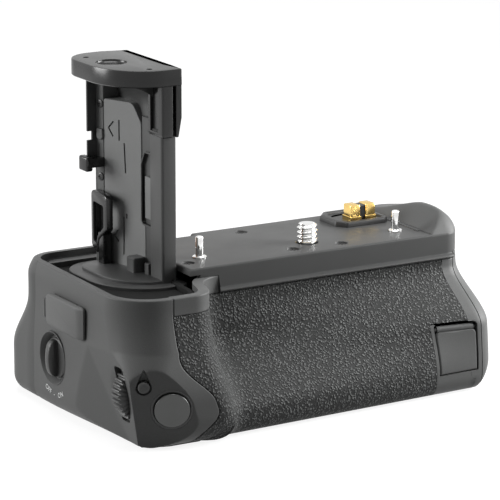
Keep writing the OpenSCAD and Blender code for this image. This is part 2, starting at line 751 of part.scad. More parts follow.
module bay_wall() {
    color("#2f3130") base() {
        span([bay_wall_x, tray_y0, floor_t], [bay_wall_x + bay_wall_t, tray_y1 - 1, pack_top]);
        span([bay_wall_x, tray_y0, pack_top], [bay_wall_x + bay_wall_t, seat_rear - 4, plate_z]);
    }
}
module main_board() {
    color("#1f5a38") base() {
        span([bay_wall_x - 1.6, tray_y0 + 2, 6], [bay_wall_x, tray_y1 - 4, pack_top - 2]);
        for (p = [[4, 12], [16, 24], [24, 10]])
            span([bay_wall_x - 3, p.x, p.y], [bay_wall_x - 1.6, p.x + 6, p.y + 7]);
    }
}
module bay_contacts() {
    color("#c9a24a") base() for (y = [divider_y - 7, divider_y + 3])
        span([bay_wall_x + bay_wall_t, y, 17], [tray_x0 - fit, y + 4, 27]);
}

module gear_bridge() {
    color("#8f918f") base() {
        difference() {
            span([-14.4, -4, bridge_z], [14.4, wheel_y + 3, bridge_z + bridge_t]);
            translate([0, 0, bridge_z - 1]) cylinder(r = pivot_r + run_fit, h = 3);
        }
        for (x = [-13, 13]) translate([x, 1, bridge_z]) cylinder(r = 1.2, h = plate_z - bridge_z);
    }
}
module wheel_axle() {
    color("#c8c8c4") base() translate([0, wheel_y, bridge_z + bridge_t])
        cylinder(r = axle_r, h = plate_z - bridge_z - bridge_t);
}
module thumb_wheel() {
    color("#262727") base() translate([0, wheel_y, gear_z]) linear_extrude(gear_t) difference() {
        rotate(180 / wheel_teeth + 90) gear_outline(wheel_teeth);
        circle(axle_r + run_fit);
    }
}
module screw_gear() {
    color("#b08d3c") base() translate([0, 0, gear_z]) linear_extrude(gear_t) difference() {
        rotate(90) gear_outline(screw_teeth);
        circle(d = neck_d);
    }
}
module camera_screw() {
    color("#d6d6d2") base() {
        translate([0, 0, body_h]) cylinder(d = screw_d, h = screw_len);
        translate([0, 0, gear_z]) cylinder(d = neck_d, h = body_h - gear_z);
        translate([0, 0, bridge_z]) cylinder(r = pivot_r, h = gear_z - bridge_z);
    }
}

module shutter_bezel() {
    color("#2c2d2d") base() facing(facet_p, facet_n) rotate_extrude()
        polygon([[shutter_r + run_fit, -3.6], [shutter_bezel_r, -3.6], [shutter_bezel_r, 0.1],
                 [shutter_r + run_fit + 0.3, 0.1], [shutter_r + run_fit, -0.2]]);
}
module shutter_button() {
    color("#4a4c4b") base() facing(facet_p, facet_n) rotate_extrude()
        polygon([[0, -5.2], [1.4, -5.2], [1.4, -4.4], [shutter_r + 0.5, -4.4], [shutter_r + 0.5, -3.8],
                 [shutter_r, -3.8], [shutter_r, 0.6], [shutter_r - 0.5, 1], [0, 0.7]]);
}
module shutter_switch() {
    color("#20323a") base() facing(facet_p, facet_n) rotate_extrude()
        polygon([[0, -6.4], [1.8, -6.4], [1.8, -6.8], [3, -6.8], [shutter_bezel_r - 0.3, -5.5],
                 [shutter_bezel_r - 0.3, -3.6], [shutter_bezel_r + 0.4, -3.6], [shutter_bezel_r + 0.4, -5.8],
                 [3.4, -7.4], [0, -7.4]]);
}
module function_button() {
    color("#454746") base() facing(function_p, facet_n) rotate_extrude()
        polygon([[0, -3.3], [function_r + 0.5, -3.3], [function_r + 0.5, -2.7], [function_r, -2.7],
                 [function_r, 0.3], [function_r - 0.4, 0.7], [0, 0.8]]);
}
module function_switch() {
    top = -shell_t + fit;
    color("#20323a") base() difference() {
        facing(function_p, facet_n) rotate_extrude()
            polygon([[0, -3.9], [function_r + 0.8, -3.9], [function_r + 0.8, top], [function_r + 1.4, top],
                     [function_r + 1.4, -4.5], [0, -4.5]]);
        control_skin();
    }
}

bracket_y = dial_y + dial_w / 2 + 0.5;
bracket_t = 1.6;
dial_axle_r = 1.2;
module dial_bracket() {
    color("#55585a") base() difference() {
        span([dial_p.x - 2.5, bracket_y, floor_t], [dial_p.x + 7, bracket_y + bracket_t, dial_h + 4]);
        translate([dial_p.x, bracket_y - 1, dial_h]) rotate([-90, 0, 0]) cylinder(r = dial_axle_r, h = 4);
    }
}
module dial_axle() {
    color("#c8c8c4") base() translate([dial_p.x, dial_y - dial_w / 2, dial_h]) rotate([-90, 0, 0])
        cylinder(r = dial_axle_r, h = dial_w + 0.5 + bracket_t);
}
module main_dial() {
    color("#1e1f1f") base() translate([dial_p.x, dial_y + dial_w / 2, dial_h]) rotate([90, 0, 0])
        linear_extrude(dial_w) difference() {
            polygon([for (i = [0:dial_ribs - 1], q = [[-0.28, -0.6], [-0.2, 0], [0.2, 0], [0.28, -0.6]])
                (dial_r + q[1]) * [cos(360 / dial_ribs * (i + q[0])), sin(360 / dial_ribs * (i + q[0]))]]);
            circle(dial_axle_r + run_fit);
        }
}

knob_depth = 2.4;
knob_shaft_r = 2;
module knob_frame() { translate([knob_x, knob_y, knob_h]) rotate([0, 90, 0]) children(); }
module knob_bezel() {
    color("#333534") base() knob_frame() rotate_extrude()
        polygon([[knob_shaft_r + run_fit, knob_depth], [knob_r + 0.2, knob_depth], [knob_rim_r - 0.4, 0],
                 [knob_rim_r, 0], [knob_rim_r, knob_depth + 1.6], [knob_shaft_r + run_fit, knob_depth + 1.6]]);
}
module power_knob() {
    color("#252626") base() knob_frame() {
        translate([0, 0, knob_depth - 1.3]) cylinder(r = knob_r - 0.5, h = 1.1);
        translate([0, 0, knob_depth - 1]) cylinder(r = knob_shaft_r, h = 5);
        span([-knob_r + 0.9, -1.3, knob_depth - 4.4], [knob_r - 0.9, 1.3, knob_depth - 1]);
    }
}
module power_switch() {
    color("#20323a") base() knob_frame() difference() {
        translate([0, 0, knob_depth + 1.6]) cylinder(r = knob_r - 1, h = 4);
        translate([0, 0, knob_depth]) cylinder(r = knob_shaft_r + run_fit, h = 4.2);
    }
}

module port_socket() {
    x0 = left_x + shell_t - fit;
    color("#1c1d1d") base() difference() {
        span([x0, port_y0 + port_margin - 1.2, port_z0 + 0.8], [x0 + 8, port_y1 - port_margin + 1.2, port_z1 - 0.8]);
        span([x0 - 1, port_y0 + port_margin + 1, port_z0 + 2.6], [x0 + 6.8, port_y1 - port_margin - 1, port_z1 - 2.6]);
        control_skin();
    }
}
module port_hinge() {
    color("#2a2b2b") base() {
        port_lugs();
        translate([port_pin.x, port_pin.y, port_z0 - lug_gap]) cylinder(r = port_pin_r, h = port_h + 2 * lug_gap);
    }
}
module port_cover() {
    color("#343635") base() difference() {
        union() {
            span([port_x - port_t, port_y0, port_z0], [port_x, port_pin.y, port_z1]);
            translate([port_pin.x, port_pin.y, port_z0]) cylinder(d = port_t, h = port_h);
        }
        translate([port_pin.x, port_pin.y, port_z0 - 1]) cylinder(r = port_pin_r + run_fit, h = port_h + 2);
    }
}

module door_pin() { color("#c8c8c4") base() door_pin_rod(door_pin_r, door_pin_l); }

knuckle_r = 1.15;
door_gap = 0.45;
function door_stations(h) =
    [for (i = [0:4]) front_station(h, mix(door_x0 + door_gap, door_x1 - door_gap, i / 4))];
module cord_door() {
    rows = [for (i = [0:5]) mix(door_z0 + fit, door_z1 - 0.2, i / 5)];
    color("#3f4140") base() {
        difference() {
            union() {
                panel(rows, function (h) door_stations(h), 0.05, 1.8, function (i, j) true);
                door_pin_rod(knuckle_r, door_l - 2.4);
            }
            door_pin_rod(door_pin_r + run_fit, door_l + 5);
        }
    }
}
cord_r = 3.4;
module cord_channel() {
    color("#262727") base() difference() {
        span([door_x0 + 1, -wall_front - 11, floor_t], [door_x1 - 3, -wall_front - 2, door_z1 - 1.4]);
        translate([(door_x0 + door_x1) / 2 - 1, -wall_front - 12, (door_z0 + door_z1) / 2]) rotate([-90, 0, 0])
            cylinder(r = cord_r, h = 12);
    }
}

latch_y = divider_y;
latch_h = 26;
latch_shaft_r = 2;
latch_r = 8;
arm_len = cap_top + 2.4 - latch_h;
tray_chamfer = 2.4;
wall_chamfer = 1.7;

module tray() {
    color("#2b2d2c") base() difference() {
        union() {
            span([tray_x0, tray_y0, tray_z], [tray_x1, tray_y1, pack_z]);
            span([tray_x0 + end_t, divider_y, pack_z], [tray_x1 - end_t, divider_y + tray_t, pack_top - 1]);
            for (x = [tray_x0, tray_x1 - end_t])
                span([x, tray_y0, pack_z], [x + end_t, tray_y1, pack_top - 0.6]);
            for (y = [tray_y0, tray_y1 - 3], z = [tray_z, 18])
                span([tray_x1, y, z], [cap_x, y + 3, z + 5]);
        }
        for (y = [divider_y - 8, divider_y + 2])
            span([tray_x0 - 1, y, 16], [tray_x0 + end_t, y + 6, 28]);
        translate([tray_x1 - 4, latch_y + tray_t / 2, latch_h]) rotate([0, 90, 0])
            cylinder(r = latch_shaft_r + run_fit, h = 6);
        translate([tray_x0 - 1, tray_y1, tray_z]) rotate([90, 0, 90]) linear_extrude(cap_x - tray_x0 + 2)
            polygon([[-tray_chamfer, -1], [1, -1], [1, tray_chamfer + 0.4]]);
        translate([tray_x0 - 1, tray_y1, pack_top - 0.6]) rotate([90, 0, 90]) linear_extrude(cap_x - tray_x0)
            polygon([[-wall_chamfer, 0.1], [0.1, 0.1], [0.1, -wall_chamfer - 0.6]]);
    }
}
module tray_contacts() {
    color("#d2a441") base() for (y = [divider_y - 8, divider_y + 2])
        span([tray_x0, y, 16], [tray_x0 + end_t, y + 6, 28]);
}

// Cap on the tray: the casing's end skin backed by a flat face
module tray_cap() {
    rows = concat([for (i = [0:5]) 0.5 + (foot_r - 0.5) * (1 - cos(18 * i))],
                  [for (i = [1:10]) mix(foot_r, cap_top, i / 10)]);
    stations = concat(steps(4.02, 4.5, 8), [4.6, 4.7, 4.8, 4.9], steps(5, 5.48, 8));
    back_x = cap_x - 4;
    n = len(stations);
    m = len(rows);
    size = n * m;
    outside = [for (h = rows, s = stations) let (q = plan_at(s, h, 0)) [q.x, q.y, h]];
    points = concat(outside, [for (p = outside) [back_x, p.y, p.z]]);
    cells = [for (j = [0:m - 2], i = [0:n - 2]) let (a = j * n + i, b = a + n, c = b + 1, d = a + 1)
        each [[a, b, c], [a, c, d], [a + size, c + size, b + size], [a + size, d + size, c + size]]];
    foot_side = [for (i = [0:n - 2]) let (a = i, d = i + 1) each [[a, d, d + size], [a, d + size, a + size]]];
    top_side = [for (i = [0:n - 2]) let (b = (m - 1) * n + i, c = b + 1)
        each [[c, b, b + size], [c, b + size, c + size]]];
    ends = [for (j = [0:m - 2]) let (a = j * n, b = a + n, d = a + n - 1, c = b + n - 1)
        each [[b, a, a + size], [b, a + size, b + size], [d, c, c + size], [d, c + size, d + size]]];
    color("#3b3d3c") base() difference() {
        polyhedron(points = points, faces = concat(cells, foot_side, top_side, ends), convexity = 6);
        span([back_x - 9, -99, -1], [cap_x, 99, body_h]);
        translate([cap_x - 1, latch_y + tray_t / 2, latch_h]) rotate([0, 90, 0])
            cylinder(r = latch_shaft_r + run_fit, h = 12);
        translate([right_x - 0.6, latch_y + tray_t / 2, latch_h]) rotate([0, 90, 0])
            cylinder(r = latch_r + 0.6, h = 12);
    }
}
module tray_latch() {
    color("#2a2b2b") base() translate([0, latch_y + tray_t / 2, latch_h]) {
        translate([tray_x1 - end_t + 0.1, 0, 0]) rotate([0, 90, 0])
            cylinder(r = latch_shaft_r, h = right_x + 0.4 - tray_x1 + end_t);
        translate([right_x - 0.4, 0, 0]) rotate([0, 90, 0]) cylinder(r = latch_r, h = 1);
        span([right_x + 0.4, -latch_r + 1.5, -1.4], [right_x + 2.6, latch_r - 1.5, 1.4]);
        span([tray_x1 + 0.15, 0, -2], [cap_x - 0.15, arm_len, 2]);
    }
}

board_y = button_wall_y - shell_t - 4.2;
module rear_board() {
    color("#1f5a38") base() span([left_x + 5, board_y - 1.4, floor_t], [thumb_x - 3, board_y, platform_z]);
}
module rear_switches() {
    color("#c8c8c4") base() for (x = REAR_BUTTONS) translate([x, board_y, rear_button_h]) rotate([-90, 0, 0])
        cylinder(r = 1.6, h = 0.8);
}
module rear_button(x) {
    flange_y = button_wall_y - shell_t - 1.2;
    color("#434544") base() translate([x, 0, rear_button_h]) rotate([-90, 0, 0]) {
        translate([0, 0, flange_y]) cylinder(r = button_flange_r, h = 0.8);
        translate([0, 0, board_y + 1.4]) cylinder(r = rear_button_r, h = thumb_rear + 0.8 - board_y - 1.4);
    }
}
module rear_button_a() { rear_button(REAR_BUTTONS[0]); }
module rear_button_b() { rear_button(REAR_BUTTONS[1]); }
module rear_button_c() { rear_button(REAR_BUTTONS[2]); }

bottom_plate();
tripod_socket();
bottom_screws();
rear_shell();
thumb_rubber();
front_shell();
front_rubber();
door_frame();
control_housing();
top_cover();
plate_screws();
locating_pins();
connector_pad();
connector_core();
connector_contacts();
rim_gasket();
tower_platform();
tower_column();
tower_plate();
tower_head();
tower_contacts();
tower_clip();
tower_tab();
tower_screws();
tower_flex();
bay_wall();
main_board();
bay_contacts();
gear_bridge();
wheel_axle();
thumb_wheel();
screw_gear();
camera_screw();
shutter_bezel();
shutter_button();
shutter_switch();
function_button();
function_switch();
dial_bracket();
dial_axle();
main_dial();
knob_bezel();
power_knob();
power_switch();
port_socket();
port_hinge();
port_cover();
door_pin();
cord_door();
cord_channel();
tray();
tray_contacts();
tray_cap();
tray_latch();
rear_board();
rear_switches();
rear_button_a();
rear_button_b();
rear_button_c();
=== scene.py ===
"""Camera battery grip: moulded skins, rubber, insert tower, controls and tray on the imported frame."""
import math

import bmesh
import bpy
import numpy as np
from mathutils import Matrix


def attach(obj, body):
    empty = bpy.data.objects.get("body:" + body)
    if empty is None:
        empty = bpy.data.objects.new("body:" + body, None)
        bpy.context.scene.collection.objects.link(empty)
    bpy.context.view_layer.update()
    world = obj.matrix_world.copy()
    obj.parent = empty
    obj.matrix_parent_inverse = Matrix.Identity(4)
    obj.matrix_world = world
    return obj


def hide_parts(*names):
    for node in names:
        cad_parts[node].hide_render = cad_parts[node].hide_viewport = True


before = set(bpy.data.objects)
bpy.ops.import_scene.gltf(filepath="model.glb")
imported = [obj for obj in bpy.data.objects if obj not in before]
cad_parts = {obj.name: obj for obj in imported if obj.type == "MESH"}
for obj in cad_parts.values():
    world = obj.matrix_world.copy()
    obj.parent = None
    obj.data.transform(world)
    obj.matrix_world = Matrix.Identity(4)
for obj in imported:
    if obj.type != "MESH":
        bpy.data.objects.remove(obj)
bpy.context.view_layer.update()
scene = bpy.context.scene
scene.view_settings.view_transform = "Standard"

# Camera of the photograph: a long lens in front of the grip's left corner, a little above it.
# Turn and lift were fitted to the seat's edges; the frame is square.
turn = math.radians(30.3)
lift = math.radians(14.1)
to_right = np.array([math.cos(turn), -math.sin(turn), 0.0])
to_back = np.array([-math.sin(turn) * math.cos(lift), -math.cos(turn) * math.cos(lift), math.sin(lift)])
to_top = np.cross(to_back, to_right)
camera_stand = np.array([-0.52018, -0.85488, 0.24874])
lens = bpy.data.cameras.new("photo_camera")
lens.sensor_width = 36
lens.lens = 237.6
lens.clip_start = 0.01
camera = bpy.data.objects.new("photo_camera", lens)


def stand(right, top, back, place):
    """Matrix of an object from its three axes and its place."""
    axes = np.eye(4)
    axes[:3] = np.column_stack([right, top, back, place])
    return Matrix(axes.tolist())


camera.matrix_world = stand(to_right, to_top, to_back, camera_stand)
scene.collection.objects.link(camera)
scene.camera = camera

# Studio: white surround and a pale floor that keeps the soft contact shadow.
# Two side lamps and a top lamp; the side towards the camera stays the darkest.
def add(tree, kind, sockets=None, **settings):
    """Node of a kind with its settings; a socket is given a plain value or another node's output."""
    made = tree.nodes.new(kind)
    for key, value in settings.items():
        setattr(made, key, value)
    for key, value in (sockets or {}).items():
        if isinstance(value, bpy.types.NodeSocket):
            tree.links.new(value, made.inputs[key])
        else:
            made.inputs[key].default_value = value
    return made


def sees_white(tree):
    """One where a ray comes from the camera, a glossy or a transmission bounce, zero elsewhere."""
    path = add(tree, "ShaderNodeLightPath")
    first = add(tree, "ShaderNodeMath", {0: path.outputs["Is Camera Ray"], 1: path.outputs["Is Glossy Ray"]},
                operation="MAXIMUM")
    both = add(tree, "ShaderNodeMath", {0: first.outputs[0], 1: path.outputs["Is Transmission Ray"]},
               operation="MAXIMUM")
    return both.outputs[0]


world = bpy.data.worlds.new("studio")
world.use_nodes = True
world.node_tree.nodes.clear()
ambient = add(world.node_tree, "ShaderNodeBackground", {"Color": (1, 1, 1, 1), "Strength": 0.1})
surround = add(world.node_tree, "ShaderNodeBackground", {"Color": (1, 1, 1, 1), "Strength": 1.0})
world_mix = add(world.node_tree, "ShaderNodeMixShader",
                {0: sees_white(world.node_tree), 1: ambient.outputs[0], 2: surround.outputs[0]})
add(world.node_tree, "ShaderNodeOutputWorld", {0: world_mix.outputs[0]})
scene.world = world

floor_paint = bpy.data.materials.new("floor_paint")
floor_paint.use_nodes = True
floor_tree = floor_paint.node_tree
floor_tree.nodes.clear()
floor_matt = add(floor_tree, "ShaderNodeBsdfDiffuse", {"Color": (0.2, 0.2, 0.2, 1)}).outputs[0]
floor_glow = add(floor_tree, "ShaderNodeEmission",
                 {"Color": (1, 1, 1, 1), "Strength": sees_white(floor_tree)})
floor_dim = add(floor_tree, "ShaderNodeMixShader", {0: 0.86, 1: floor_matt, 2: floor_glow.outputs[0]})
floor_sum = add(floor_tree, "ShaderNodeAddShader", {0: floor_dim.outputs[0], 1: floor_matt})
add(floor_tree, "ShaderNodeOutputMaterial", {0: floor_sum.outputs[0]})
floor_half = 4.0
floor_z = -0.048
floor_mesh = bpy.data.meshes.new("studio_floor")
floor_corners = [(x * floor_half, y * floor_half, floor_z) for x, y in ((-1, -1), (1, -1), (1, 1), (-1, 1))]
floor_mesh.from_pydata(floor_corners, [], [(0, 1, 2, 3)])
floor_mesh.materials.append(floor_paint)
studio_floor = bpy.data.objects.new("studio_floor", floor_mesh)
scene.collection.objects.link(studio_floor)


def softbox(name, place, size, power):
    """Square area lamp at a place, turned to the origin."""
    lamp = bpy.data.lights.new(name, "AREA")
    lamp.size = size
    lamp.energy = power
    box = bpy.data.objects.new(name, lamp)
    away = np.array(place) / np.linalg.norm(place)
    side = np.cross((0.0, 0.02, 1.0), away)
    side /= np.linalg.norm(side)
    box.matrix_world = stand(side, np.cross(away, side), away, place)
    box.visible_camera = False
    scene.collection.objects.link(box)


softbox("top_lamp", (0.05, 0.1, 1.0), 0.7, 8.5)
softbox("left_lamp", (-0.95, 0.55, 0.32), 0.5, 9.9)
softbox("right_lamp", (0.27, -0.1, 0.1), 0.18, 2.0)

# Finishes of the moulded parts: black plastic with a fine spark-eroded grain, in several greys.
# The grain is a shared node group on Object coordinates; colour and roughness vary a little with it.
def effect_group(name, takes):
    """Node group of an effect: its tint and named values go in; colour, roughness and height come out."""
    tree = bpy.data.node_groups.new(name, "ShaderNodeTree")
    tree.interface.new_socket("Tint", in_out="INPUT", socket_type="NodeSocketColor")
    for label in takes:
        tree.interface.new_socket(label, in_out="INPUT", socket_type="NodeSocketFloat")
    tree.interface.new_socket("Colour", in_out="OUTPUT", socket_type="NodeSocketColor")
    for label in ("Roughness", "Height"):
        tree.interface.new_socket(label, in_out="OUTPUT", socket_type="NodeSocketFloat")
    place = add(tree, "ShaderNodeTexCoord").outputs["Object"]
    return tree, tree.nodes.new("NodeGroupInput").outputs, place


def times_plus(tree, a, b, c):
    """Value a times b plus c."""
    return add(tree, "ShaderNodeMath", {0: a, 1: b, 2: c}, operation="MULTIPLY_ADD").outputs[0]


def scaled(tree, vector, share):
    """Vector or colour times a share."""
    return add(tree, "ShaderNodeVectorMath", {0: vector, "Scale": share}, operation="SCALE").outputs[0]


def give(tree, colour, rough, height):
    """Output node of an effect group."""
    add(tree, "NodeGroupOutput", {"Colour": colour, "Roughness": rough, "Height": height})


grain, grain_takes, grain_place = effect_group("fine_grain", ("Cells", "Spread", "Rough"))
grain_speck = add(grain, "ShaderNodeTexNoise", {"Vector": grain_place, "Scale": grain_takes["Cells"],
                                               "Detail": 2.0, "Roughness": 0.6}).outputs["Fac"]
grain_cloud = add(grain, "ShaderNodeTexNoise", {"Vector": grain_place, "Scale": 70.0,
                                                "Detail": 3.0}).outputs["Fac"]
grain_odd = times_plus(grain, grain_speck, 1.0, -0.5)
grain_drift = times_plus(grain, grain_cloud, 1.0, -0.5)
grain_shade = times_plus(grain, grain_odd, grain_takes["Spread"], 1.0)
grain_tone = times_plus(grain, grain_drift, 0.12, grain_shade)
grain_rough = times_plus(grain, grain_drift, 0.2, grain_takes["Rough"])
give(grain, scaled(grain, grain_takes["Tint"], grain_tone), grain_rough, grain_speck)


def finish_from(name, effect, settings, bump, metallic=0.0, specular=0.5):
    """Principled material whose colour, roughness and bump come from one effect group."""
    paint = bpy.data.materials.new(name)
    paint.use_nodes = True
    tree = paint.node_tree
    shader = tree.nodes["Principled BSDF"]
    shader.inputs["Metallic"].default_value = metallic
    shader.inputs["Specular IOR Level"].default_value = specular
    source = add(tree, "ShaderNodeGroup", node_tree=effect)
    for key, value in settings.items():
        source.inputs[key].default_value = value
    relief = add(tree, "ShaderNodeBump", {"Strength": 1.0, "Distance": bump,
                                          "Height": source.outputs["Height"]})
    tree.links.new(source.outputs["Colour"], shader.inputs["Base Color"])
    tree.links.new(source.outputs["Roughness"], shader.inputs["Roughness"])
    tree.links.new(relief.outputs["Normal"], shader.inputs["Normal"])
    return paint


def plastic(name, grey, cells=3600.0, spread=0.35, rough=0.5, bump=0.00002, specular=0.22,
            hue=(0.985, 1.0, 0.99)):
    """Dark moulded plastic with the fine grain: one grey with a touch of hue."""
    tint = (*(grey * share for share in hue), 1.0)
    return finish_from(name, grain, {"Tint": tint, "Cells": cells, "Spread": spread, "Rough": rough}, bump,
                       specular=specular)


def metal(name, tint, rough, cells=2400.0, spread=0.12, bump=0.000002):
    """Bare or plated metal of one tint with faint tooling marks."""
    return finish_from(name, grain, {"Tint": (*tint, 1.0), "Cells": cells, "Spread": spread, "Rough": rough},
                       bump, metallic=1.0)


casing_plastic = plastic("casing_plastic", 0.088)
steel_plain = metal("steel_plain", (0.5, 0.5, 0.49), 0.35)
screw_black = metal("screw_black", (0.05, 0.05, 0.05), 0.4)

# Bottom plate: flat plastic floor screwed into the two shells, with the tripod socket in its middle.
# The plate keeps its CAD shape with softened edges; socket and screws get threads and cross recesses.
body_h = 48.0


def to_metres(points):
    """Points with heights from the underside, in millimetres, in the frame of the seat plane in metres."""
    return (np.asarray(points, float) - (0.0, 0.0, body_h)) * 0.001


def unit(v):
    """Direction of one vector or of a row of vectors, at length one."""
    return v / np.linalg.norm(v, axis=-1, keepdims=True)


def solid_mesh(name, shells):
    """Mesh of closed shells, each given as points and faces, with every face turned outwards."""
    counts = np.cumsum([0] + [len(points) for points, _ in shells])
    places = to_metres(np.concatenate([points for points, _ in shells]))
    faces = [[i + start for i in face] for (_, sides), start in zip(shells, counts) for face in sides]
    mesh = bpy.data.meshes.new(name)
    mesh.from_pydata(places.tolist(), [], faces)
    work = bmesh.new()
    work.from_mesh(mesh)
    bmesh.ops.remove_doubles(work, verts=work.verts, dist=1e-7)
    bmesh.ops.recalc_face_normals(work, faces=work.faces)
    work.to_mesh(mesh)
    work.free()
    return mesh


def carve(obj, *tools, how="DIFFERENCE"):
    """Boolean of an object with closed tool shapes, kept as its mesh."""
    helpers = []
    for shells in tools:
        helper = bpy.data.objects.new("tool", solid_mesh("tool", shells))
        scene.collection.objects.link(helper)
        helpers.append(helper)
        cut = obj.modifiers.new("cut", "BOOLEAN")
        cut.object = helper
        cut.operation = how
        cut.solver = "EXACT"
    bpy.context.view_layer.update()
    shown = obj.evaluated_get(bpy.context.evaluated_depsgraph_get())
    mesh = bpy.data.meshes.new_from_object(shown)
    obj.modifiers.clear()
    obj.data = mesh
    for helper in helpers:
        bpy.data.objects.remove(helper)


def coat(obj, paint):
    """One finish on an object, in place of any that it has."""
    obj.data.materials.clear()
    obj.data.materials.append(paint)


def piece(name, shells, body, stands_for, paint, crease=32.0, cuts=(), meets=()):
    """New object from closed shells, cut by tools, smooth below the crease angle, riding on a body."""
    obj = bpy.data.objects.new(name, solid_mesh(name, shells))
    scene.collection.objects.link(obj)
    if meets:
        carve(obj, *meets, how="INTERSECT")
    if cuts:
        carve(obj, *cuts)
    coat(obj, paint)
    obj.data.shade_smooth()
    obj.data.set_sharp_from_angle(angle=math.radians(crease))
    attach(obj, body)
    if stands_for:
        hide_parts(*stands_for)


def dress(node, paint, bevel=0.0):
    """CAD node in its finish, with its edges softened by a bevel in millimetres."""
    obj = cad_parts[node]
    coat(obj, paint)
    if bevel:
        weld = obj.modifiers.new("weld", "WELD")
        weld.merge_threshold = 1e-6
        soft = obj.modifiers.new("soft_edges", "BEVEL")
        soft.width = bevel * 0.001
        soft.segments = 2
        soft.limit_method = "ANGLE"
        soft.angle_limit = math.radians(40)


def loft(rings, ring_closed=False):
    """Skin over a stack of rings: quads between neighbours, and a flat cap at each end or the last joined to
    the first."""
    rows, count = rings.shape[:2]
    index = np.arange(rows * count).reshape(rows, count)
    beside = np.roll(index, -1, 1)
    above = np.roll(index, -1, 0)
    corner = np.roll(beside, -1, 0)
    quads = np.stack([index, beside, corner, above], -1)
    last = rows if ring_closed else rows - 1
    faces = quads[:last].reshape(-1, 4).tolist()
    if not ring_closed:
        faces += [index[0, ::-1].tolist(), index[-1].tolist()]
    return rings.reshape(-1, 3), faces


def side_axes(out):
    """Two unit directions across a given one, for a local frame."""
    out = unit(np.asarray(out, float))
    hint = np.array([0.0, 0.0, 1.0]) if abs(out[2]) < 0.9 else np.array([1.0, 0.0, 0.0])
    across = unit(np.cross(hint, out))
    return across, np.cross(out, across), out


def revolve(profile, origin, out, count=64, hollow=False):
    """Turned body: each profile point (r, z) becomes a circle of radius r at height z along a direction."""
    across, along, out = side_axes(out)
    angle = np.linspace(0, 2 * np.pi, count, endpoint=False)
    circle = np.cos(angle)[:, None] * across + np.sin(angle)[:, None] * along
    profile = np.asarray(profile, float)
    rings = np.asarray(origin, float) + profile[:, :1, None] * circle + profile[:, 1:, None] * out
    return loft(rings, ring_closed=hollow)


def oblong(x0, y0, x1, y1):
    """Four corners of a rectangle, anticlockwise from its low one."""
    return [(x0, y0), (x1, y0), (x1, y1), (x0, y1)]


def block(low, high):
    """Plain box between two corners, as a cutting tool or a base."""
    plan = np.array(oblong(*low[:2], *high[:2]), float)
    return loft(np.stack([np.insert(plan, 2, z, axis=1) for z in (low[2], high[2])]))


def rod(origin, out, radius, start, end, count=48):
    """Plain cylinder along a direction from one distance to another."""
    return revolve([(radius, start), (radius, end)], origin, out, count)


def thread(core, crest, pitch, start, end, origin, out, count=72, steps=14):
    """Threaded rod: the radius at angle a and height z is core plus (crest - core) times a rounded tooth of
    z / pitch - a / 2 pi, faded out at both ends."""
    across, along, out = side_axes(out)
    angle = np.linspace(0, 2 * np.pi, count, endpoint=False)[None, :]
    z = np.linspace(start, end, int((end - start) / pitch * steps) + 1)[:, None]
    phase = (z / pitch - angle / (2 * np.pi)) % 1.0
    tooth = np.clip(1.25 - np.abs(phase - 0.5) * 3.2, 0, 1)
    fade = np.clip(np.minimum(z - start, end - z) / 0.5, 0, 1)
    radius = (core + (crest - core) * tooth * fade)[..., None]
    circle = np.cos(angle)[..., None] * across + np.sin(angle)[..., None] * along
    return loft(np.asarray(origin, float) + radius * circle + z[..., None] * out)


def screw_heads(places, radius, low, high, out):
    """Screw heads: a low dome with a rolled rim at each place, from low to high along a direction."""
    rim = 0.25
    profile = [(radius, low), (radius, high - rim - 0.15), (radius - 0.08, high - 0.2),
               (radius - rim, high - 0.1), (radius * 0.5, high - 0.02), (0.06, high)]
    return [revolve(profile, place, out, 40) for place in places]


def cross_slots(places, size, depth, high, out):
    """Two crossed blades at each place, the recess of a cross-head screw."""
    across, along, out = side_axes(out)
    tools = []
    for place in places:
        for one, two in ((across, along), (along, across)):
            base = np.array(oblong(-size, -0.16, size, 0.16))
            rings = np.stack([np.asarray(place) + base[:, :1] * one + base[:, 1:] * two + z * out
                              for z in (high - depth, high + 0.5)])
            tools.append([loft(rings)])
    return tools


down = (0.0, 0.0, -1.0)
bottom_screw_places = [(-68, 28, 0), (-64, -22, 0), (26, -19, 0), (30, 28, 0)]
dress("bottom_plate", casing_plastic, 0.3)
socket_place = (0.0, -18.5, 0.0)
piece("tripod_bush", [revolve([(6.47, -8.2), (6.47, -0.3), (6.2, 0), (0.01, 0)], socket_place, down)],
      "casing", ["tripod_socket"], steel_plain,
      cuts=[[thread(2.75, 3.17, 1.27, -7.0, 1.0, socket_place, down)],
            [revolve([(2.8, -0.6), (3.6, 0.2), (3.6, 0.6)], socket_place, down)]])
piece("bottom_screw_heads", screw_heads(bottom_screw_places, 1.75, -2.0, -0.2, down), "casing",
      ["bottom_screws"], screw_black,
      cuts=cross_slots(bottom_screw_places, 1.0, 0.7, -0.2, down))

# Rear shell: moulded casing wall from the tray end round the thumb rest to the seam in the left end.
# It follows one skin formula with the other casing panels and is screwed to the bottom plate.
left_x = -80.0
right_x = 50.4
wall_front = 12.0
seat_rear = 28.5
rear_full = 37.8
foot_r = 5.5
edge_h = 0.2
ledge_h = 39.6
rim_h = 45.0
plate_z = 46.0
thumb_rear = 43.0
shell_t = 2.2
shutter_turn = math.radians(24.8)
shutter_tilt = math.radians(7)
facet_n = np.array([-math.sin(shutter_turn) * math.cos(shutter_tilt),
                    -math.cos(shutter_turn) * math.cos(shutter_tilt), -math.sin(shutter_tilt)])
facet_p = np.array([-67.6, -34.6, 12.6])
scoop_top = 28.8


def ease(t):
    """Smooth step from 0 to 1: t^2 (3 - 2 t) on the clipped share t."""
    t = np.clip(t, 0, 1)
    return t * t * (3 - 2 * t)


def mix(a, b, t):
    """Share t of the way from a to b."""
    return a + (b - a) * t


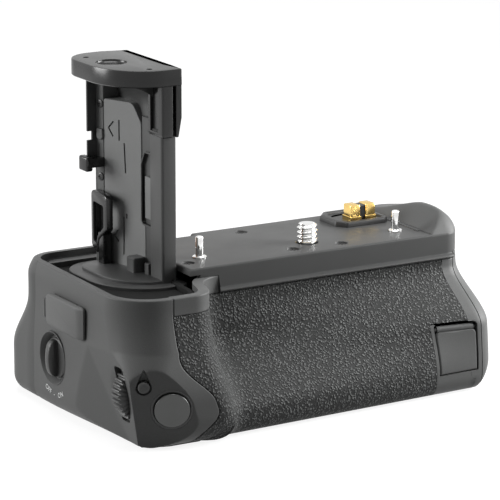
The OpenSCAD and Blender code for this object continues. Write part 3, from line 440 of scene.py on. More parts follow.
def foot_round(s):
    """Radius of the rounded foot at station s: larger round the grip block and at the tray end."""
    s = s % 8
    block_share = ease((s - 0.6) / 0.4) * ease((2.7 - s) / 0.5)
    end_share = ease((s - 3.98) / 0.35) * ease((5.5 - s) / 0.3)
    return foot_r + 4 * (block_share + end_share)


def left_wall(h):
    """Place of the left end at height h: it swells by 1 mm below the rim."""
    return left_x - ease((36 - h) / 20)


def plan_corners(h, e, foot):
    """Eight plan corners (x, y, radius) at height h set in by e: rim sizes plus eased swells below the rim,
    all drawn in by the round foot."""
    near = np.clip(foot - h, 0, foot)
    f = e + foot - np.sqrt(foot**2 - near**2)
    lean = 3.5 * ease((h - 40) / 9)
    lx = left_wall(h)
    rx = right_x + 1.8 * ease((44 - h) / 24)
    bx = -50.5 + 1.5 * ease((30 - h) / 16)
    by = -29.5 - 8 * ease((42 - h) / 28)
    wl = -wall_front - 21.5 * ease((27.5 - h) / 20)
    wr = -wall_front - 17 * ease((37.5 - h) / 16)
    ry = seat_rear + (rear_full - seat_rear) * ease((plate_z - h) / 5)
    ty = thumb_rear + 9 * ease((33 - h) / 18) - lean
    rf = mix(20, 10, ease((42 - h) / 24))
    x = np.stack([lx + 0.8 + lean / 2 + f, lx + f, bx - f, bx + 5 - f, rx - f, rx - f, -40 - f, -46 - f])
    y = np.stack([ty - f, by + f, by + f, wl + f, wr + f, ry - f, ry - f, ty - f])
    r = np.stack([np.maximum(9 - f, 0.5), np.maximum(rf - f, 0.5), np.maximum(8 - f, 0.5), 9 + f,
                  np.maximum(6 - f, 0.5), np.maximum(6 - f, 0.5), 9 + f, np.maximum(9 - f, 0.5)])
    return x, y, r


def corner_arc(x, y, r, k, t):
    """Point at share t of the arc that rounds corner k between its neighbours."""
    def pick(values, i):
        return np.take_along_axis(values, (i % 8)[None], 0)[0]

    p = np.stack([pick(x, k), pick(y, k)], -1)
    pa = np.stack([pick(x, k - 1), pick(y, k - 1)], -1) - p
    pb = np.stack([pick(x, k + 1), pick(y, k + 1)], -1) - p
    u = unit(pa)
    v = unit(pb)
    half = np.arccos(np.clip((u * v).sum(-1), -1, 1)) / 2
    reach = 0.49 * np.minimum(np.linalg.norm(pa, axis=-1), np.linalg.norm(pb, axis=-1))
    d = np.minimum(pick(r, k) / np.tan(half), reach)
    q = d * np.tan(half)
    centre = p + unit(u + v) * (q / np.sin(half))[..., None]
    start = p + u * d[..., None] - centre
    end = p + v * d[..., None] - centre
    a0 = np.arctan2(start[..., 1], start[..., 0])
    sweep = (np.arctan2(end[..., 1], end[..., 0]) - a0 + 3 * np.pi) % (2 * np.pi) - np.pi
    a = a0 + sweep * t
    return centre + q[..., None] * np.stack([np.cos(a), np.sin(a)], -1)


def plan_at(s, h, e):
    """Plan point at station s: corner k is rounded from k to k + 0.5, a straight edge runs on to k + 1."""
    s, h, e = np.broadcast_arrays(np.asarray(s, float), np.asarray(h, float), np.asarray(e, float))
    x, y, r = plan_corners(h, e, foot_round(s))
    k = np.floor(s).astype(int)
    t = 2 * (s - k)
    round_part = corner_arc(x, y, r, k, np.clip(t, 0, 1))
    next_start = corner_arc(x, y, r, k + 1, np.zeros_like(t))
    straight = mix(round_part, next_start, np.clip(t - 1, 0, 1)[..., None])
    return np.where((t <= 1)[..., None], round_part, straight)


def skin(s, h, e):
    """Casing skin set in by e: plan point at height h, cut back by the dial's scoop and shutter's flat."""
    h = np.broadcast_to(np.asarray(h, float), np.broadcast_shapes(np.shape(s), np.shape(h)))
    q = plan_at(s, h, e)
    crease = mix(7.5, -3.7, np.minimum(h / scoop_top, 1))
    rear_slope = math.tan(math.radians(9)) * (crease - q[..., 1])
    top_slope = math.tan(math.radians(10)) * (scoop_top - h)
    d = np.minimum(rear_slope, top_slope)
    wall = left_wall(h) + e
    x = np.where(d > 0, np.maximum(q[..., 0], wall + d), q[..., 0])
    p = np.stack([x, q[..., 1], h], -1)
    over = np.maximum((p - facet_p) @ facet_n + e, 0)
    return p - over[..., None] * facet_n


def wall_station(h, place, k, axis):
    """Station on straight edge k whose x or y is the given place, at height h."""
    a = plan_at(k + 0.5 + 0 * h, h, 0)[..., axis]
    b = plan_at(k + 1.0 + 0 * h, h, 0)[..., axis]
    return k + 0.5 + 0.5 * (place - a) / (b - a)


def end_lines(count, crowd=0.5):
    """Shares from 0 to 1 that crowd towards both ends, so that an edge can be rolled."""
    t = np.linspace(0, 1, count)
    return mix(t, (1 - np.cos(np.pi * t)) / 2, crowd)


def wall_rows(low, high, count):
    """Heights from low to high: close together in the round foot and again at the top edge."""
    bend_h = foot_r + 4
    bend = low + (bend_h - low) * (1 - np.cos(np.linspace(0, np.pi / 2, 20)))
    side = bend_h + (high - bend_h) * np.sin(np.linspace(0, np.pi / 2, count)) ** 1.15
    return np.concatenate([bend, side[1:]])


def rolled(base, radius, sides):
    """Inset that rounds the edges of a grid: R - sqrt(R^2 - (R - d)^2) at distance d from a named edge."""
    far = np.full(base.shape[:2], 99.0)
    step = np.linalg.norm(np.diff(base, axis=1), axis=-1)
    run = np.concatenate([np.zeros((len(base), 1)), np.cumsum(step, 1)], 1)
    climb = np.linalg.norm(np.diff(base, axis=0), axis=-1)
    lift_up = np.concatenate([np.zeros((1, base.shape[1])), np.cumsum(climb, 0)], 0)
    reach = {"L": run, "R": run[:, -1:] - run, "B": lift_up, "T": lift_up[-1:] - lift_up}
    d = np.minimum.reduce([far] + [reach[side] for side in sides])
    inside = np.clip(radius - d, 0, radius)
    return radius - np.sqrt(radius**2 - inside**2)


def grid_shell(front, behind):
    """Closed shell between two like grids of points, joined along their four edges."""
    rows, count = front.shape[:2]
    index = np.arange(rows * count).reshape(rows, count)
    cells = np.stack([index[:-1, :-1], index[:-1, 1:], index[1:, 1:], index[1:, :-1]], -1).reshape(-1, 4)
    rim = np.concatenate([index[0, :-1], index[:-1, -1], index[-1, :0:-1], index[:0:-1, 0]])
    ahead = np.roll(rim, -1)
    far = rows * count
    sides = np.stack([rim, rim + far, ahead + far, ahead], -1)
    points = np.concatenate([front.reshape(-1, 3), behind.reshape(-1, 3)])
    return points, np.concatenate([cells, cells[:, ::-1] + far, sides]).tolist()


def casing_panel(rows, stations, outer, inner, roll=0.45, sides="LRT", dish=0.0):
    """Casing panel between two insets of the skin on one grid, with rolled edges on the named sides and an
    optional extra inset of the outer face."""
    h = rows[:, None] + 0 * stations
    front = skin(stations, h, outer + rolled(skin(stations, h, outer), roll, sides) + dish)
    return grid_shell(front, skin(stations, h, inner))


seam_left_y = 31.5
end_seam_y = seat_rear - 6.0
thumb_start = 6.35
rear_rows = wall_rows(edge_h, plate_z, 44)
rear_from = wall_station(rear_rows, end_seam_y, 4, 1)[:, None]
rear_panel = casing_panel(rear_rows, mix(rear_from, thumb_start, end_lines(70, 0.3)), 0.0, shell_t,
                          sides="LT")
thumb_rows = wall_rows(edge_h, rim_h, 54)
thumb_to = 8 + wall_station(thumb_rows, seam_left_y, 0, 1)[:, None]
thumb_panel = casing_panel(thumb_rows, mix(thumb_start, thumb_to, end_lines(90, 0.3)), 0.0, shell_t,
                           sides="RT")
cap_x = 47.2
cap_top = 41.4
gap = 0.3
cap_space = [block((cap_x - gap, -99, -1), (99, 99, cap_top + gap))]
wheel_out = 15.0
wheel_y = 21.0
gear_z = 43.0
wheel_slot = [block((-wheel_out - gap, wheel_y, gear_z - gap), (wheel_out + gap, 60, plate_z + 2))]
rear_button_x = (-67.6, -60.2, -52.8)
rear_button_h = 37.0
rearwards = (0.0, 1.0, 0.0)
button_bores = [[rod((x, 36, rear_button_h), rearwards, 2.95, 0, 12)] for x in rear_button_x]
piece("rear_wall", [rear_panel], "casing", ["rear_shell"], casing_plastic,
      cuts=[cap_space, wheel_slot])
piece("thumb_shell", [thumb_panel], "casing", ["rear_shell"], casing_plastic, cuts=button_bores)

# Pebbled rubber, moulded with a leather-like grain: a glued pad on the thumb rest and the front skin.
# Cells of about half a millimetre stand proud; their colour carries painted highlights on the tops and
# painted shade in the valleys between them.
pebble, pebble_takes, pebble_place = effect_group("pebble_grain", ("Cells", "Rough"))
pebble_bend = add(pebble, "ShaderNodeTexNoise", {"Vector": pebble_place, "Scale": 900.0, "Detail": 1.0})
pebble_push = scaled(pebble, pebble_bend.outputs["Color"], 0.0009)
pebble_spot = add(pebble, "ShaderNodeVectorMath", {0: pebble_place, 1: pebble_push},
                  operation="ADD").outputs[0]
pebble_cell = add(pebble, "ShaderNodeTexVoronoi",
                  {"Vector": pebble_spot, "Scale": pebble_takes["Cells"], "Smoothness": 0.35},
                  feature="SMOOTH_F1").outputs["Distance"]
pebble_dome = add(pebble, "ShaderNodeMapRange", {"Value": pebble_cell, "From Min": 0.1, "From Max": 0.62,
                                                "To Min": 1.0, "To Max": 0.0},
                  interpolation_type="SMOOTHSTEP").outputs[0]
# Painted light: the pebble tops are coloured lighter as highlight and the valleys darker as shade.
pebble_painted_light = add(pebble, "ShaderNodeMapRange", {"Value": pebble_dome, "To Min": 0.45,
                                                 "To Max": 1.5}).outputs[0]
pebble_rough = times_plus(pebble, pebble_dome, -0.12, pebble_takes["Rough"])
give(pebble, scaled(pebble, pebble_takes["Tint"], pebble_painted_light), pebble_rough, pebble_dome)
grip_rubber = finish_from("grip_rubber", pebble, {"Tint": (0.074, 0.076, 0.075, 1.0), "Cells": 1250.0,
                                                  "Rough": 0.6}, 0.0003, specular=0.12)

pad_rows = mix(9.2, 28.4, end_lines(40))
pad_stations = mix(7.2, 8.16, end_lines(60)) + 0 * pad_rows[:, None]
piece("thumb_pad", [casing_panel(pad_rows, pad_stations, -0.6, 0.02, roll=0.6, sides="LRBT")], "casing",
      ["thumb_rubber"], grip_rubber)

# Front shell: inner wall of the finger side, with its rim corner showing beside the insert tower.
# The rubber is bonded over it and the cord door's window goes through it.
rubber_t = 1.2
frame_in = rubber_t + 1.6
front_end = 4.3


def rubber_seam(h):
    """Station of the seam between the control side and the rubber: it sweeps forward below mid height."""
    return 1.575 + 0.42 * ease((31 - h) / 17) - 0.15 * ease((12 - h) / 10)


def front_stations(rows, end, count):
    """Stations from the rubber seam to an end station, one row for each height."""
    return mix(rubber_seam(rows)[:, None], end, end_lines(count, 0.3))


def rounded(points, radii, steps=10):
    """Closed outline with each corner replaced by an arc tangent to both of its edges."""
    p = np.asarray(points, float)
    r = np.asarray(radii, float)[:, None]
    u = unit(np.roll(p, 1, 0) - p)
    v = unit(np.roll(p, -1, 0) - p)
    half = np.arccos(np.clip((u * v).sum(-1, keepdims=True), -1, 1)) / 2
    d = r / np.tan(half)
    centre = p + unit(u + v) * r / np.sin(half)
    start = p + u * d - centre
    end = p + v * d - centre
    a0 = np.arctan2(start[:, 1], start[:, 0])
    sweep = (np.arctan2(end[:, 1], end[:, 0]) - a0 + 3 * np.pi) % (2 * np.pi) - np.pi
    a = a0[:, None] + sweep[:, None] * np.linspace(0, 1, steps)
    return (centre[:, None] + r[:, None] * np.stack([np.cos(a), np.sin(a)], -1)).reshape(-1, 2)


def inset(outline, depth):
    """Anticlockwise outline moved inwards by a depth along the mitre of its neighbouring edges."""
    ahead = unit(np.roll(outline, -1, 0) - outline)
    before = np.roll(ahead, 1, 0)
    n1 = np.stack([-ahead[:, 1], ahead[:, 0]], -1)
    n0 = np.stack([-before[:, 1], before[:, 0]], -1)
    mitre = (n0 + n1) / (1 + (n0 * n1).sum(-1, keepdims=True))
    return outline + np.asarray(depth)[..., None] * mitre


def front_plate(outline, y_levels):
    """Plate facing the front: an outline in x and height, one ring per level (inset, y)."""
    return loft(np.stack([np.insert(inset(outline, d), 1, y, axis=1) for d, y in y_levels]))


door_x0 = 30.6
door_x1 = 45.6
door_z0 = 7.2
door_top = 22.9
window_outline = rounded(oblong(door_x0, door_z0, door_x1, door_top), [0.3, 0.3, 1.2, 1.2])
door_window = [front_plate(window_outline, [(0, -45), (0, -16)])]
nail_notch = [block((42.6, -45, door_z0 - 1.5), (45.0, -26.6, door_z0 + 0.5))]
backing_rows = wall_rows(edge_h, ledge_h - 0.1, 30)
backing = casing_panel(backing_rows, front_stations(backing_rows, front_end, 60), rubber_t + 0.02, frame_in,
                       sides="T")
corner_rows = ledge_h - 0.1 + (rim_h - ledge_h + 0.1) * end_lines(24)
corner_panel = casing_panel(corner_rows, front_stations(corner_rows, 3.5, 50), 0.0, frame_in, sides="LBT")
piece("front_backing", [backing], "casing", ["front_shell"], casing_plastic,
      cuts=[cap_space, door_window])
piece("front_corner", [corner_panel], "casing", ["front_shell"], casing_plastic)

# Front rubber: bonded skin with the pebble grain from the grip block to the cord door.
# Its edges are rolled where they meet the hard plastic.
rubber_rows = wall_rows(edge_h, ledge_h - 0.15, 50)
rubber_grid = front_stations(rubber_rows, front_end, 130)
surround_x = 29.4
surround_z = 23.2
strip_x = 42.6
hard_side = [block((strip_x, -99, -9), (99, 0, 99))]
hard_low = [block((surround_x, -99, -9), (99, 0, surround_z))]
piece("front_grip", [casing_panel(rubber_rows, rubber_grid, 0.0, rubber_t, roll=0.5)], "casing",
      ["front_rubber"], grip_rubber, cuts=[hard_side, hard_low])

# Door frame: hard plastic surround of the cord door and strip along the tray end, level with the rubber.
# It is clipped to the front shell.
seam_gap = 0.12
groove_gap = 0.45
frame_shape = casing_panel(rubber_rows, rubber_grid, 0.0, rubber_t, roll=0.4, sides="T")
strip_zone = [block((strip_x + seam_gap, -99, -8), (98, -1, 98))]
surround_zone = [block((surround_x + seam_gap, -99, -8), (strip_x + 2, -1, surround_z - groove_gap))]
piece("door_strip", [frame_shape], "casing", ["door_frame"], casing_plastic, meets=[strip_zone],
      cuts=[cap_space, door_window])
piece("door_surround", [frame_shape], "casing", ["door_frame"], casing_plastic,
      meets=[surround_zone], cuts=[cap_space, door_window, nail_notch])

# Control housing: moulded panel of the left end and grip block, with the scoop of the dial, the flat of the
# shutter button, and bores for the knob, the button and the cable port.
control_rows = wall_rows(edge_h, rim_h, 110)
control_from = wall_station(control_rows, seam_left_y, 0, 1)[:, None]
control_grid = mix(control_from, rubber_seam(control_rows)[:, None], end_lines(200, 0.3))
dial_place = np.array([-71.6652, -23.9, 16.3])
control_face = skin(control_grid, control_rows[:, None] + 0 * control_grid, 0.0)
dish_y = (control_face[..., 1] - dial_place[1]) / 6.2
dish_h = (control_face[..., 2] - dial_place[2]) / 9.4
dial_dish = 1.1 * np.clip(1 - dish_y**2 - dish_h**2, 0, 1)**1.5
shutter_r = 5.4
bezel_r = 6.4
function_place = np.array([-75.6036, -31.8953, 19.9448])
function_r = 1.8
knob_place = np.array([-80.75, 17.6, 17.6])
knob_rim_r = 8.5
leftwards = np.array([-1.0, 0.0, 0.0])
facet_side = np.array([math.cos(shutter_turn), -math.sin(shutter_turn), 0.0])
facet_up = unit(np.cross(facet_n, facet_side))


def teardrop(radius, tip, steps=40):
    """Outline of a drop: a circle below drawn up to a point at height tip."""
    a = np.linspace(0, 2 * np.pi, steps, endpoint=False)
    x = radius * np.sin(a)
    y = -radius * np.cos(a)
    stretch = ease((y + 0.2 * radius) / (1.2 * radius))
    return np.stack([x * (1 - 0.72 * stretch), y + (tip - radius) * stretch], -1)


def prism(outline, levels, origin, across, along, out):
    """Prism of an outline with one ring per level (scale, height), in a local frame."""
    rings = np.stack([np.asarray(origin) + outline[:, :1] * k * np.asarray(across)
                      + outline[:, 1:] * k * np.asarray(along) + z * np.asarray(out) for k, z in levels])
    return loft(rings)


drop_cut = [prism(teardrop(2.6, 6.0), [(0.74, -1.5), (0.86, -0.9), (1.04, 0.6), (1.12, 1.6)], function_place,
                  facet_side, facet_up, facet_n)]
slot_outline = rounded(oblong(-2.7, -8.6, 2.7, 8.6), [1.3] * 4)
upright = (0.0, 0.0, 1.0)
dial_slot = [prism(slot_outline, [(1, -2), (1, 14)], dial_place, rearwards, upright, leftwards)]
port_y0 = -3.6
port_y1 = 19.4
port_z0 = 28.0
port_z1 = 38.2
port_x = -80.3
port_t = 1.6
port_pin_y = port_y1 + 1.2
port_window = [block((-86, port_y0 + 2.4, port_z0 + 1.8), (-75, port_y1 - 2.4, port_z1 - 1.8))]
control_panel = casing_panel(control_rows, control_grid, 0.0, shell_t, dish=dial_dish)
control_bores = [[rod(facet_p, facet_n, bezel_r, -6, 4, 80)],
                 [rod(function_place, facet_n, function_r + 0.08, -5, 4)], drop_cut, dial_slot,
                 [rod(knob_place, leftwards, knob_rim_r, -6, 6, 80)], port_window]
piece("control_wall", [control_panel], "casing", ["control_housing"], casing_plastic,
      cuts=control_bores)

# Top cover: smooth seat plate that the camera rests on, with a short wall round its front and tray end.
# A flared lip closes the wall against the rubber and a ridge rises at the tray end.
seat_plastic = plastic("seat_plastic", 0.062, cells=3000.0, spread=0.25, rough=0.42, bump=0.000012,
                       specular=0.15)
plate_x = -48.5
wall_x = -38.6
lip_x = -45.0
notch_x = -26.0
notch_y = seat_rear - 2.6
small = 0.02
seat_r = 6.0
seat_box = rounded(oblong(plate_x, -wall_front, right_x, seat_rear), [0.1, seat_r, seat_r, 0.1], 24)
seat_outline = np.concatenate([
    [(plate_x, -wall_front), (lip_x, -wall_front), (lip_x + small, -wall_front), (wall_x, -wall_front),
     (wall_x + small, -wall_front)],
    np.stack([np.linspace(-36, 42, 40), np.full(40, -wall_front)], -1),
    seat_box[24:48],
    [(right_x, -5.8), (right_x, 10), (right_x, end_seam_y - small), (right_x, end_seam_y)],
    seat_box[49:72],
    [(20, seat_rear), (-10, seat_rear), (notch_x + 0.5, seat_rear), (notch_x, seat_rear - 0.5),
     (notch_x, notch_y), (plate_x, notch_y)]])
front_side = (seat_outline[:, 1] < end_seam_y - small / 2) & (seat_outline[:, 0] > wall_x + small / 2)
over_cap = seat_outline[:, 0] > cap_x - gap
lip_side = (seat_outline[:, 1] < -wall_front + 0.5) & (seat_outline[:, 0] > wall_x + small / 2) & ~over_cap
wall_low = np.where(front_side, np.where(over_cap, cap_top + gap, ledge_h), plate_z - 0.1)
corner_lip = (seat_outline[:, 0] <= wall_x + small / 2) & (seat_outline[:, 0] > lip_x + small / 2)
wall_low = np.where(corner_lip & (seat_outline[:, 1] < 0), rim_h, wall_low)
lip_out = np.where(lip_side, 1.15, 0.0)


def cover_ring(depth, height):
    """One ring of the seat cover: the outline set in by a depth, at a height for each of its points."""
    return np.column_stack([inset(seat_outline, depth), height + 0 * wall_low])


cover_rings = [cover_ring(shell_t, plate_z), cover_ring(shell_t, np.minimum(wall_low, plate_z - 0.05)),
               cover_ring(0.35, wall_low)]
for share in np.linspace(0, 1, 12):
    lip_height = wall_low + 2.2 * share * np.where(lip_side, 1.0, 0.02)
    bulge = math.sin(math.pi * min(share * 1.15 + 0.12, 1.0))**1.3
    cover_rings.append(cover_ring(-lip_out * bulge, lip_height))
edge_r = 0.7
for angle in np.linspace(0, np.pi / 2, 6):
    cover_rings.append(cover_ring(edge_r * (1 - math.cos(angle)), body_h - edge_r * (1 - math.sin(angle))))
screw_axis = (0.0, 0.0, body_h)
pin_places = [(-38.4, 0.3, body_h), (31.9, -1.3, body_h)]
plate_screw_places = [(-45, -4.4, body_h), (-8.4, -5.5, body_h), (8.5, -6.5, body_h), (-11.2, 21.7, body_h)]
pad_x0 = 18.4
pad_x1 = 37.0
pad_y0 = 9.4
pad_outline = rounded([(pad_x0 + 2.5, pad_y0), (pad_x1 - 2, pad_y0), (pad_x1, pad_y0 + 2),
                       (pad_x1, seat_rear - 2), (pad_x0 + 3.5, seat_rear - 2), (pad_x0, seat_rear - 6),
                       (pad_x0, pad_y0 + 3.5)], [0.8, 0.8, 0.8, 0.5, 0.8, 0.8, 0.8], 6)


def slab(outline, levels):
    """Upright prism: one ring of the outline per level (inset, height)."""
    return loft(np.stack([np.insert(inset(outline, d), 2, z, axis=1) for d, z in levels]))


screw_bore = [[revolve([(1.8, -4), (1.8, -0.5), (2.15, 0.0), (2.4, 0.6)], p, upright, 40)]
              for p in plate_screw_places]
piece("seat_cover", [loft(np.stack(cover_rings))], "casing", ["top_cover"], seat_plastic,
      cuts=[[revolve([(3.475, -4), (3.475, -0.3), (3.9, 0.3)], screw_axis, upright, 48)],
            [slab(pad_outline, [(-0.1, 47.4), (-0.1, 49)])],
            *[[rod(p, upright, 2.3, -0.4, 1)] for p in pin_places], *screw_bore])

# Ridge of the seat cover at the tray end: a ramp from the seat up to a rounded crest over the end corner.
# Its height over the plan is the smooth least of a ramp in x, a ridge line in y and the round of the edge.
hump_x = 38.9
hump_rise = 6.2
quarter = np.linspace(0, np.pi / 2, 30)
ridge_y = np.concatenate([-wall_front + seat_r * (1 - np.cos(quarter)), np.linspace(-5.8, 22.4, 50),
                          seat_rear - seat_r * (1 - np.sin(quarter))])
front_miss = np.clip(-wall_front + seat_r - ridge_y, 0, seat_r)
rear_miss = np.clip(ridge_y - (seat_rear - seat_r), 0, seat_r)
reach_x = right_x - seat_r + np.sqrt(np.maximum(seat_r**2 - front_miss**2 - rear_miss**2, 0)) + 0.015
ridge_share = end_lines(70, 0.8)
ridge_px = hump_x + (reach_x[:, None] - hump_x) * ridge_share
ridge_py = ridge_y[:, None] + 0 * ridge_px
side_miss = np.maximum(front_miss, rear_miss)[:, None]
corner_d = np.hypot(np.clip(ridge_px - right_x + seat_r, 0, seat_r), side_miss)
in_corner = (ridge_px > right_x - seat_r) & (side_miss > 0)
plain_d = np.minimum(right_x - ridge_px, np.minimum(ridge_py + wall_front, seat_rear - ridge_py))
edge_d = np.clip(np.where(in_corner, seat_r - corner_d, plain_d), 0, None)
ramp_x = hump_rise * np.clip((ridge_px - hump_x) / 7.6, 0, 1.2)
ridge_h = hump_rise * (0.985 - 0.82 * ease((ridge_py - 3) / 26))
front_fall = np.clip(1 - (ridge_py + wall_front) / 15, 0, 1)
end_fall = np.clip(1 - edge_d / 5.0, 0, 1)
edge_h_over = 7.4 * np.sqrt((1 - front_fall**2) * (1 - end_fall**2)) - 0.6


def soft_least(values, blend):
    """Smooth minimum of several arrays: minus blend times the log of the sum of exp(-value / blend)."""
    return -blend * np.log(sum(np.exp(-v / blend) for v in values))


ridge_z = body_h + np.maximum(soft_least([ramp_x + 0.15, ridge_h, edge_h_over], 0.28), -0.55)
ridge_top = np.stack([ridge_px, ridge_py, ridge_z], -1)
ridge_floor = np.stack([ridge_px, ridge_py, np.full_like(ridge_z, 47.3)], -1)
piece("cover_ridge", [grid_shell(ridge_top, ridge_floor)], "casing", ["top_cover"], casing_plastic,
      crease=50)

# Rubber strip along the foot of the ridge: it seals against the camera's base and is ribbed across.
# Its height is a wave of fixed pitch along the strip, rounded off at its ends and sides.
black_trim = plastic("black_trim", 0.016, cells=2600.0, rough=0.42, specular=0.45)
strip_run = np.linspace(-5.5, 20.5, 240)
strip_wave = 0.42 + 0.16 * np.cos(2 * np.pi * strip_run / 1.3)
strip_fade = np.clip(np.minimum(strip_run + 5.5, 20.5 - strip_run) / 0.5, 0, 1)**0.5
strip_across = np.linspace(0, 1, 9)
strip_px = 37.35 + 2.0 * strip_across[:, None] + 0 * strip_run
strip_dome = (1 - np.abs(2 * strip_across - 1)**4)[:, None] * (strip_wave * strip_fade)
strip_top = np.stack([strip_px, strip_run + 0 * strip_px, body_h + strip_dome], -1)
strip_floor = np.stack([strip_px, strip_run + 0 * strip_px, np.full_like(strip_px, body_h - 0.4)], -1)
piece("ridge_strip", [grid_shell(strip_top, strip_floor)], "casing", [], black_trim, crease=50)

# Fixings on the seat: sunk black screws, and two chromed locating pins pressed in with their flanges.
# The pins have a fine ring at mid height and a chamfered tip.
chrome = metal("chrome", (0.82, 0.82, 0.81), 0.08, spread=0.04)
piece("seat_screw_heads", screw_heads(plate_screw_places, 1.75, -2.0, -0.3, upright), "casing",
      ["plate_screws"], screw_black,
      cuts=cross_slots(plate_screw_places, 1.0, 0.6, -0.3, upright))
pin_profile = [(0.95, -2.0), (0.95, -0.4), (2.25, -0.4), (2.25, 0.25), (2.1, 0.4), (1.35, 0.4), (1.25, 0.5),
               (1.25, 3.1), (1.17, 3.16), (1.17, 3.3), (1.25, 3.36), (1.25, 6.1), (1.15, 6.4), (0.85, 6.6),
               (0.01, 6.6)]
piece("locating_pin_pair", [revolve(pin_profile, p, upright) for p in pin_places], "casing",
      ["locating_pins"], chrome)

# Connector to the camera: two gold-plated blocks wrapped round a black core on a soft black pad.
# The pad has a raised lip and a sunk middle.
gold_plate = metal("gold_plate", (0.83, 0.58, 0.2), 0.2, cells=1800.0)
pad_levels = [(0.0, 47.4), (0.0, 48.9), (0.25, 49.5), (0.7, 49.7), (1.5, 49.7), (1.8, 49.5), (2.0, 49.05),
              (3.4, 49.0)]
piece("connector_mat", [slab(pad_outline, pad_levels)], "casing", ["connector_pad"], black_trim)
contact_top = 54.1
core_outline = rounded(oblong(27.3, 12.9, 29.9, 16.9), [0.2] * 4, 4)
piece("connector_middle",
      [slab(core_outline, [(0, 48.9), (0, contact_top - 0.6), (0.3, contact_top - 0.3)])], "casing",
      ["connector_core"], black_trim)


def contact_block(x0, x1):
    """Gold block: a wide foot and an upright body with a rounded top."""
    foot = rounded(oblong(x0 - 0.25, 12.2, x1 + 0.25, 17.6), [0.3] * 4, 4)
    upper = rounded(oblong(x0, 12.4, x1, 17.4), [0.6] * 4, 6)
    return [slab(foot, [(0, 48.9), (0, 50.3), (0.15, 50.45)]),
            slab(upper, [(0, 50.2), (0, contact_top - 0.45), (0.12, contact_top - 0.13),
                         (0.42, contact_top)])]


piece("connector_blocks", contact_block(24.0, 27.6) + contact_block(29.6, 33.2), "casing",
      ["connector_contacts"], gold_plate)

# Platform inside the rim: two low steps of battery outline on a floor ring in the black seal rubber, which
# is painted shade in the recess, with a soft seal round it.
# The tower stands on the steps and the seal closes against the camera's battery well.
tower_plastic = plastic("tower_plastic", 0.055, cells=2800.0, spread=0.28, rough=0.4, specular=0.4)
rim_s = np.linspace(7.0, 11.0, 200)


def rim_outline(depth):
    """Outline of the rim set in by a depth, from the thumb rest round the left end to the grip block."""
    return plan_at(rim_s, rim_h, depth)


def rim_stack(levels):
    """Rings of the rim outline, one for each level (inset, height)."""
    return np.stack([np.column_stack([rim_outline(d), np.full(len(rim_s), z)]) for d, z in levels])


head_x = -69.7
head_x1 = -48.1
head_y = -7.0
column_y1 = 30.5
well_rx = 16.0
well_ry = 19.0
corner_a = np.linspace(np.pi, 1.5 * np.pi, 24)
well_corner = np.column_stack([head_x + well_rx * (1 + np.cos(corner_a)),
                               head_y + well_ry * (1 + np.sin(corner_a))])
well_ends = [(head_x, head_y + well_ry), (head_x + well_rx, head_y)]
well_rest = rounded(well_ends + [(head_x1, head_y), (head_x1, column_y1), (head_x, column_y1)],
                    [0.1, 0.1, 1, 1, 9], 10)
well_outline = np.concatenate([well_corner, well_rest[20:]])
right_of_tower = [block((-48.2, -99, 30), (99, 99, 99))]
seal_rubber = plastic("seal_rubber", 0.012, cells=2400.0, rough=0.7, specular=0.1)
seal_rings = rim_stack([(frame_in, 40.0), (frame_in, 43.0), (frame_in + 0.25, 43.25), (frame_in + 1.1, 43.3),
                        (frame_in + 1.4, 43.0), (frame_in + 1.4, 40.0)])
piece("rim_seal", [loft(seal_rings, ring_closed=True)], "casing", ["rim_gasket"], seal_rubber,
      cuts=[right_of_tower])
floor_rings = rim_stack([(frame_in + 1.45, 39.6), (frame_in + 1.45, 41.25), (frame_in + 1.6, 41.5),
                         (frame_in + 1.9, 41.6)])
rear_rings = rim_stack([(frame_in + 1.45, 40.0), (frame_in + 1.45, 43.0), (frame_in + 1.6, 43.25),
                        (frame_in + 1.9, 43.35)])
foot_z = 42.0
base_levels = [(-1.5, 40.0), (-1.5, foot_z + 0.4), (-1.35, foot_z + 0.6), (-1.05, foot_z + 0.7)]
step_levels = [(2.4, foot_z), (2.5, foot_z + 1.4), (2.65, foot_z + 1.6), (2.95, foot_z + 1.7)]
# Floor ring in the black seal rubber: painted shade in the recess between the seal and the steps.
piece("platform_floor", [loft(floor_rings)], "casing", ["tower_platform"], seal_rubber,
      cuts=[right_of_tower])
piece("platform_rear", [loft(rear_rings)], "casing", ["tower_platform"], tower_plastic,
      cuts=[right_of_tower, [block((-99, -99, 30), (99, column_y1 + 2.2, 99))]])
piece("platform_base", [slab(well_outline, base_levels)], "casing", ["tower_platform"],
      tower_plastic)
piece("platform_step", [slab(well_outline, step_levels)], "casing", ["tower_platform"],
      tower_plastic)

# Insert tower: plastic column of battery section, a beam in front, a web behind it and a rear flange.
# It is moulded in one and screwed to the platform; the arch under the head is rounded.
beam_x0 = -54.3
beam_x1 = -49.3
beam_y = -5.0
web_y = 2.5
web_x = -52.0
flange_y = 29.7
flange_x = -58.3
head_z = 103.8
skirt_z = 88.0


def upright_bar(points, radii, low, high, edge=0.25):
    """Upright bar on a rounded plan with softened ends."""
    return slab(rounded(points, radii, 6), [(edge, low), (0, low + edge), (0, high - edge), (edge, high)])


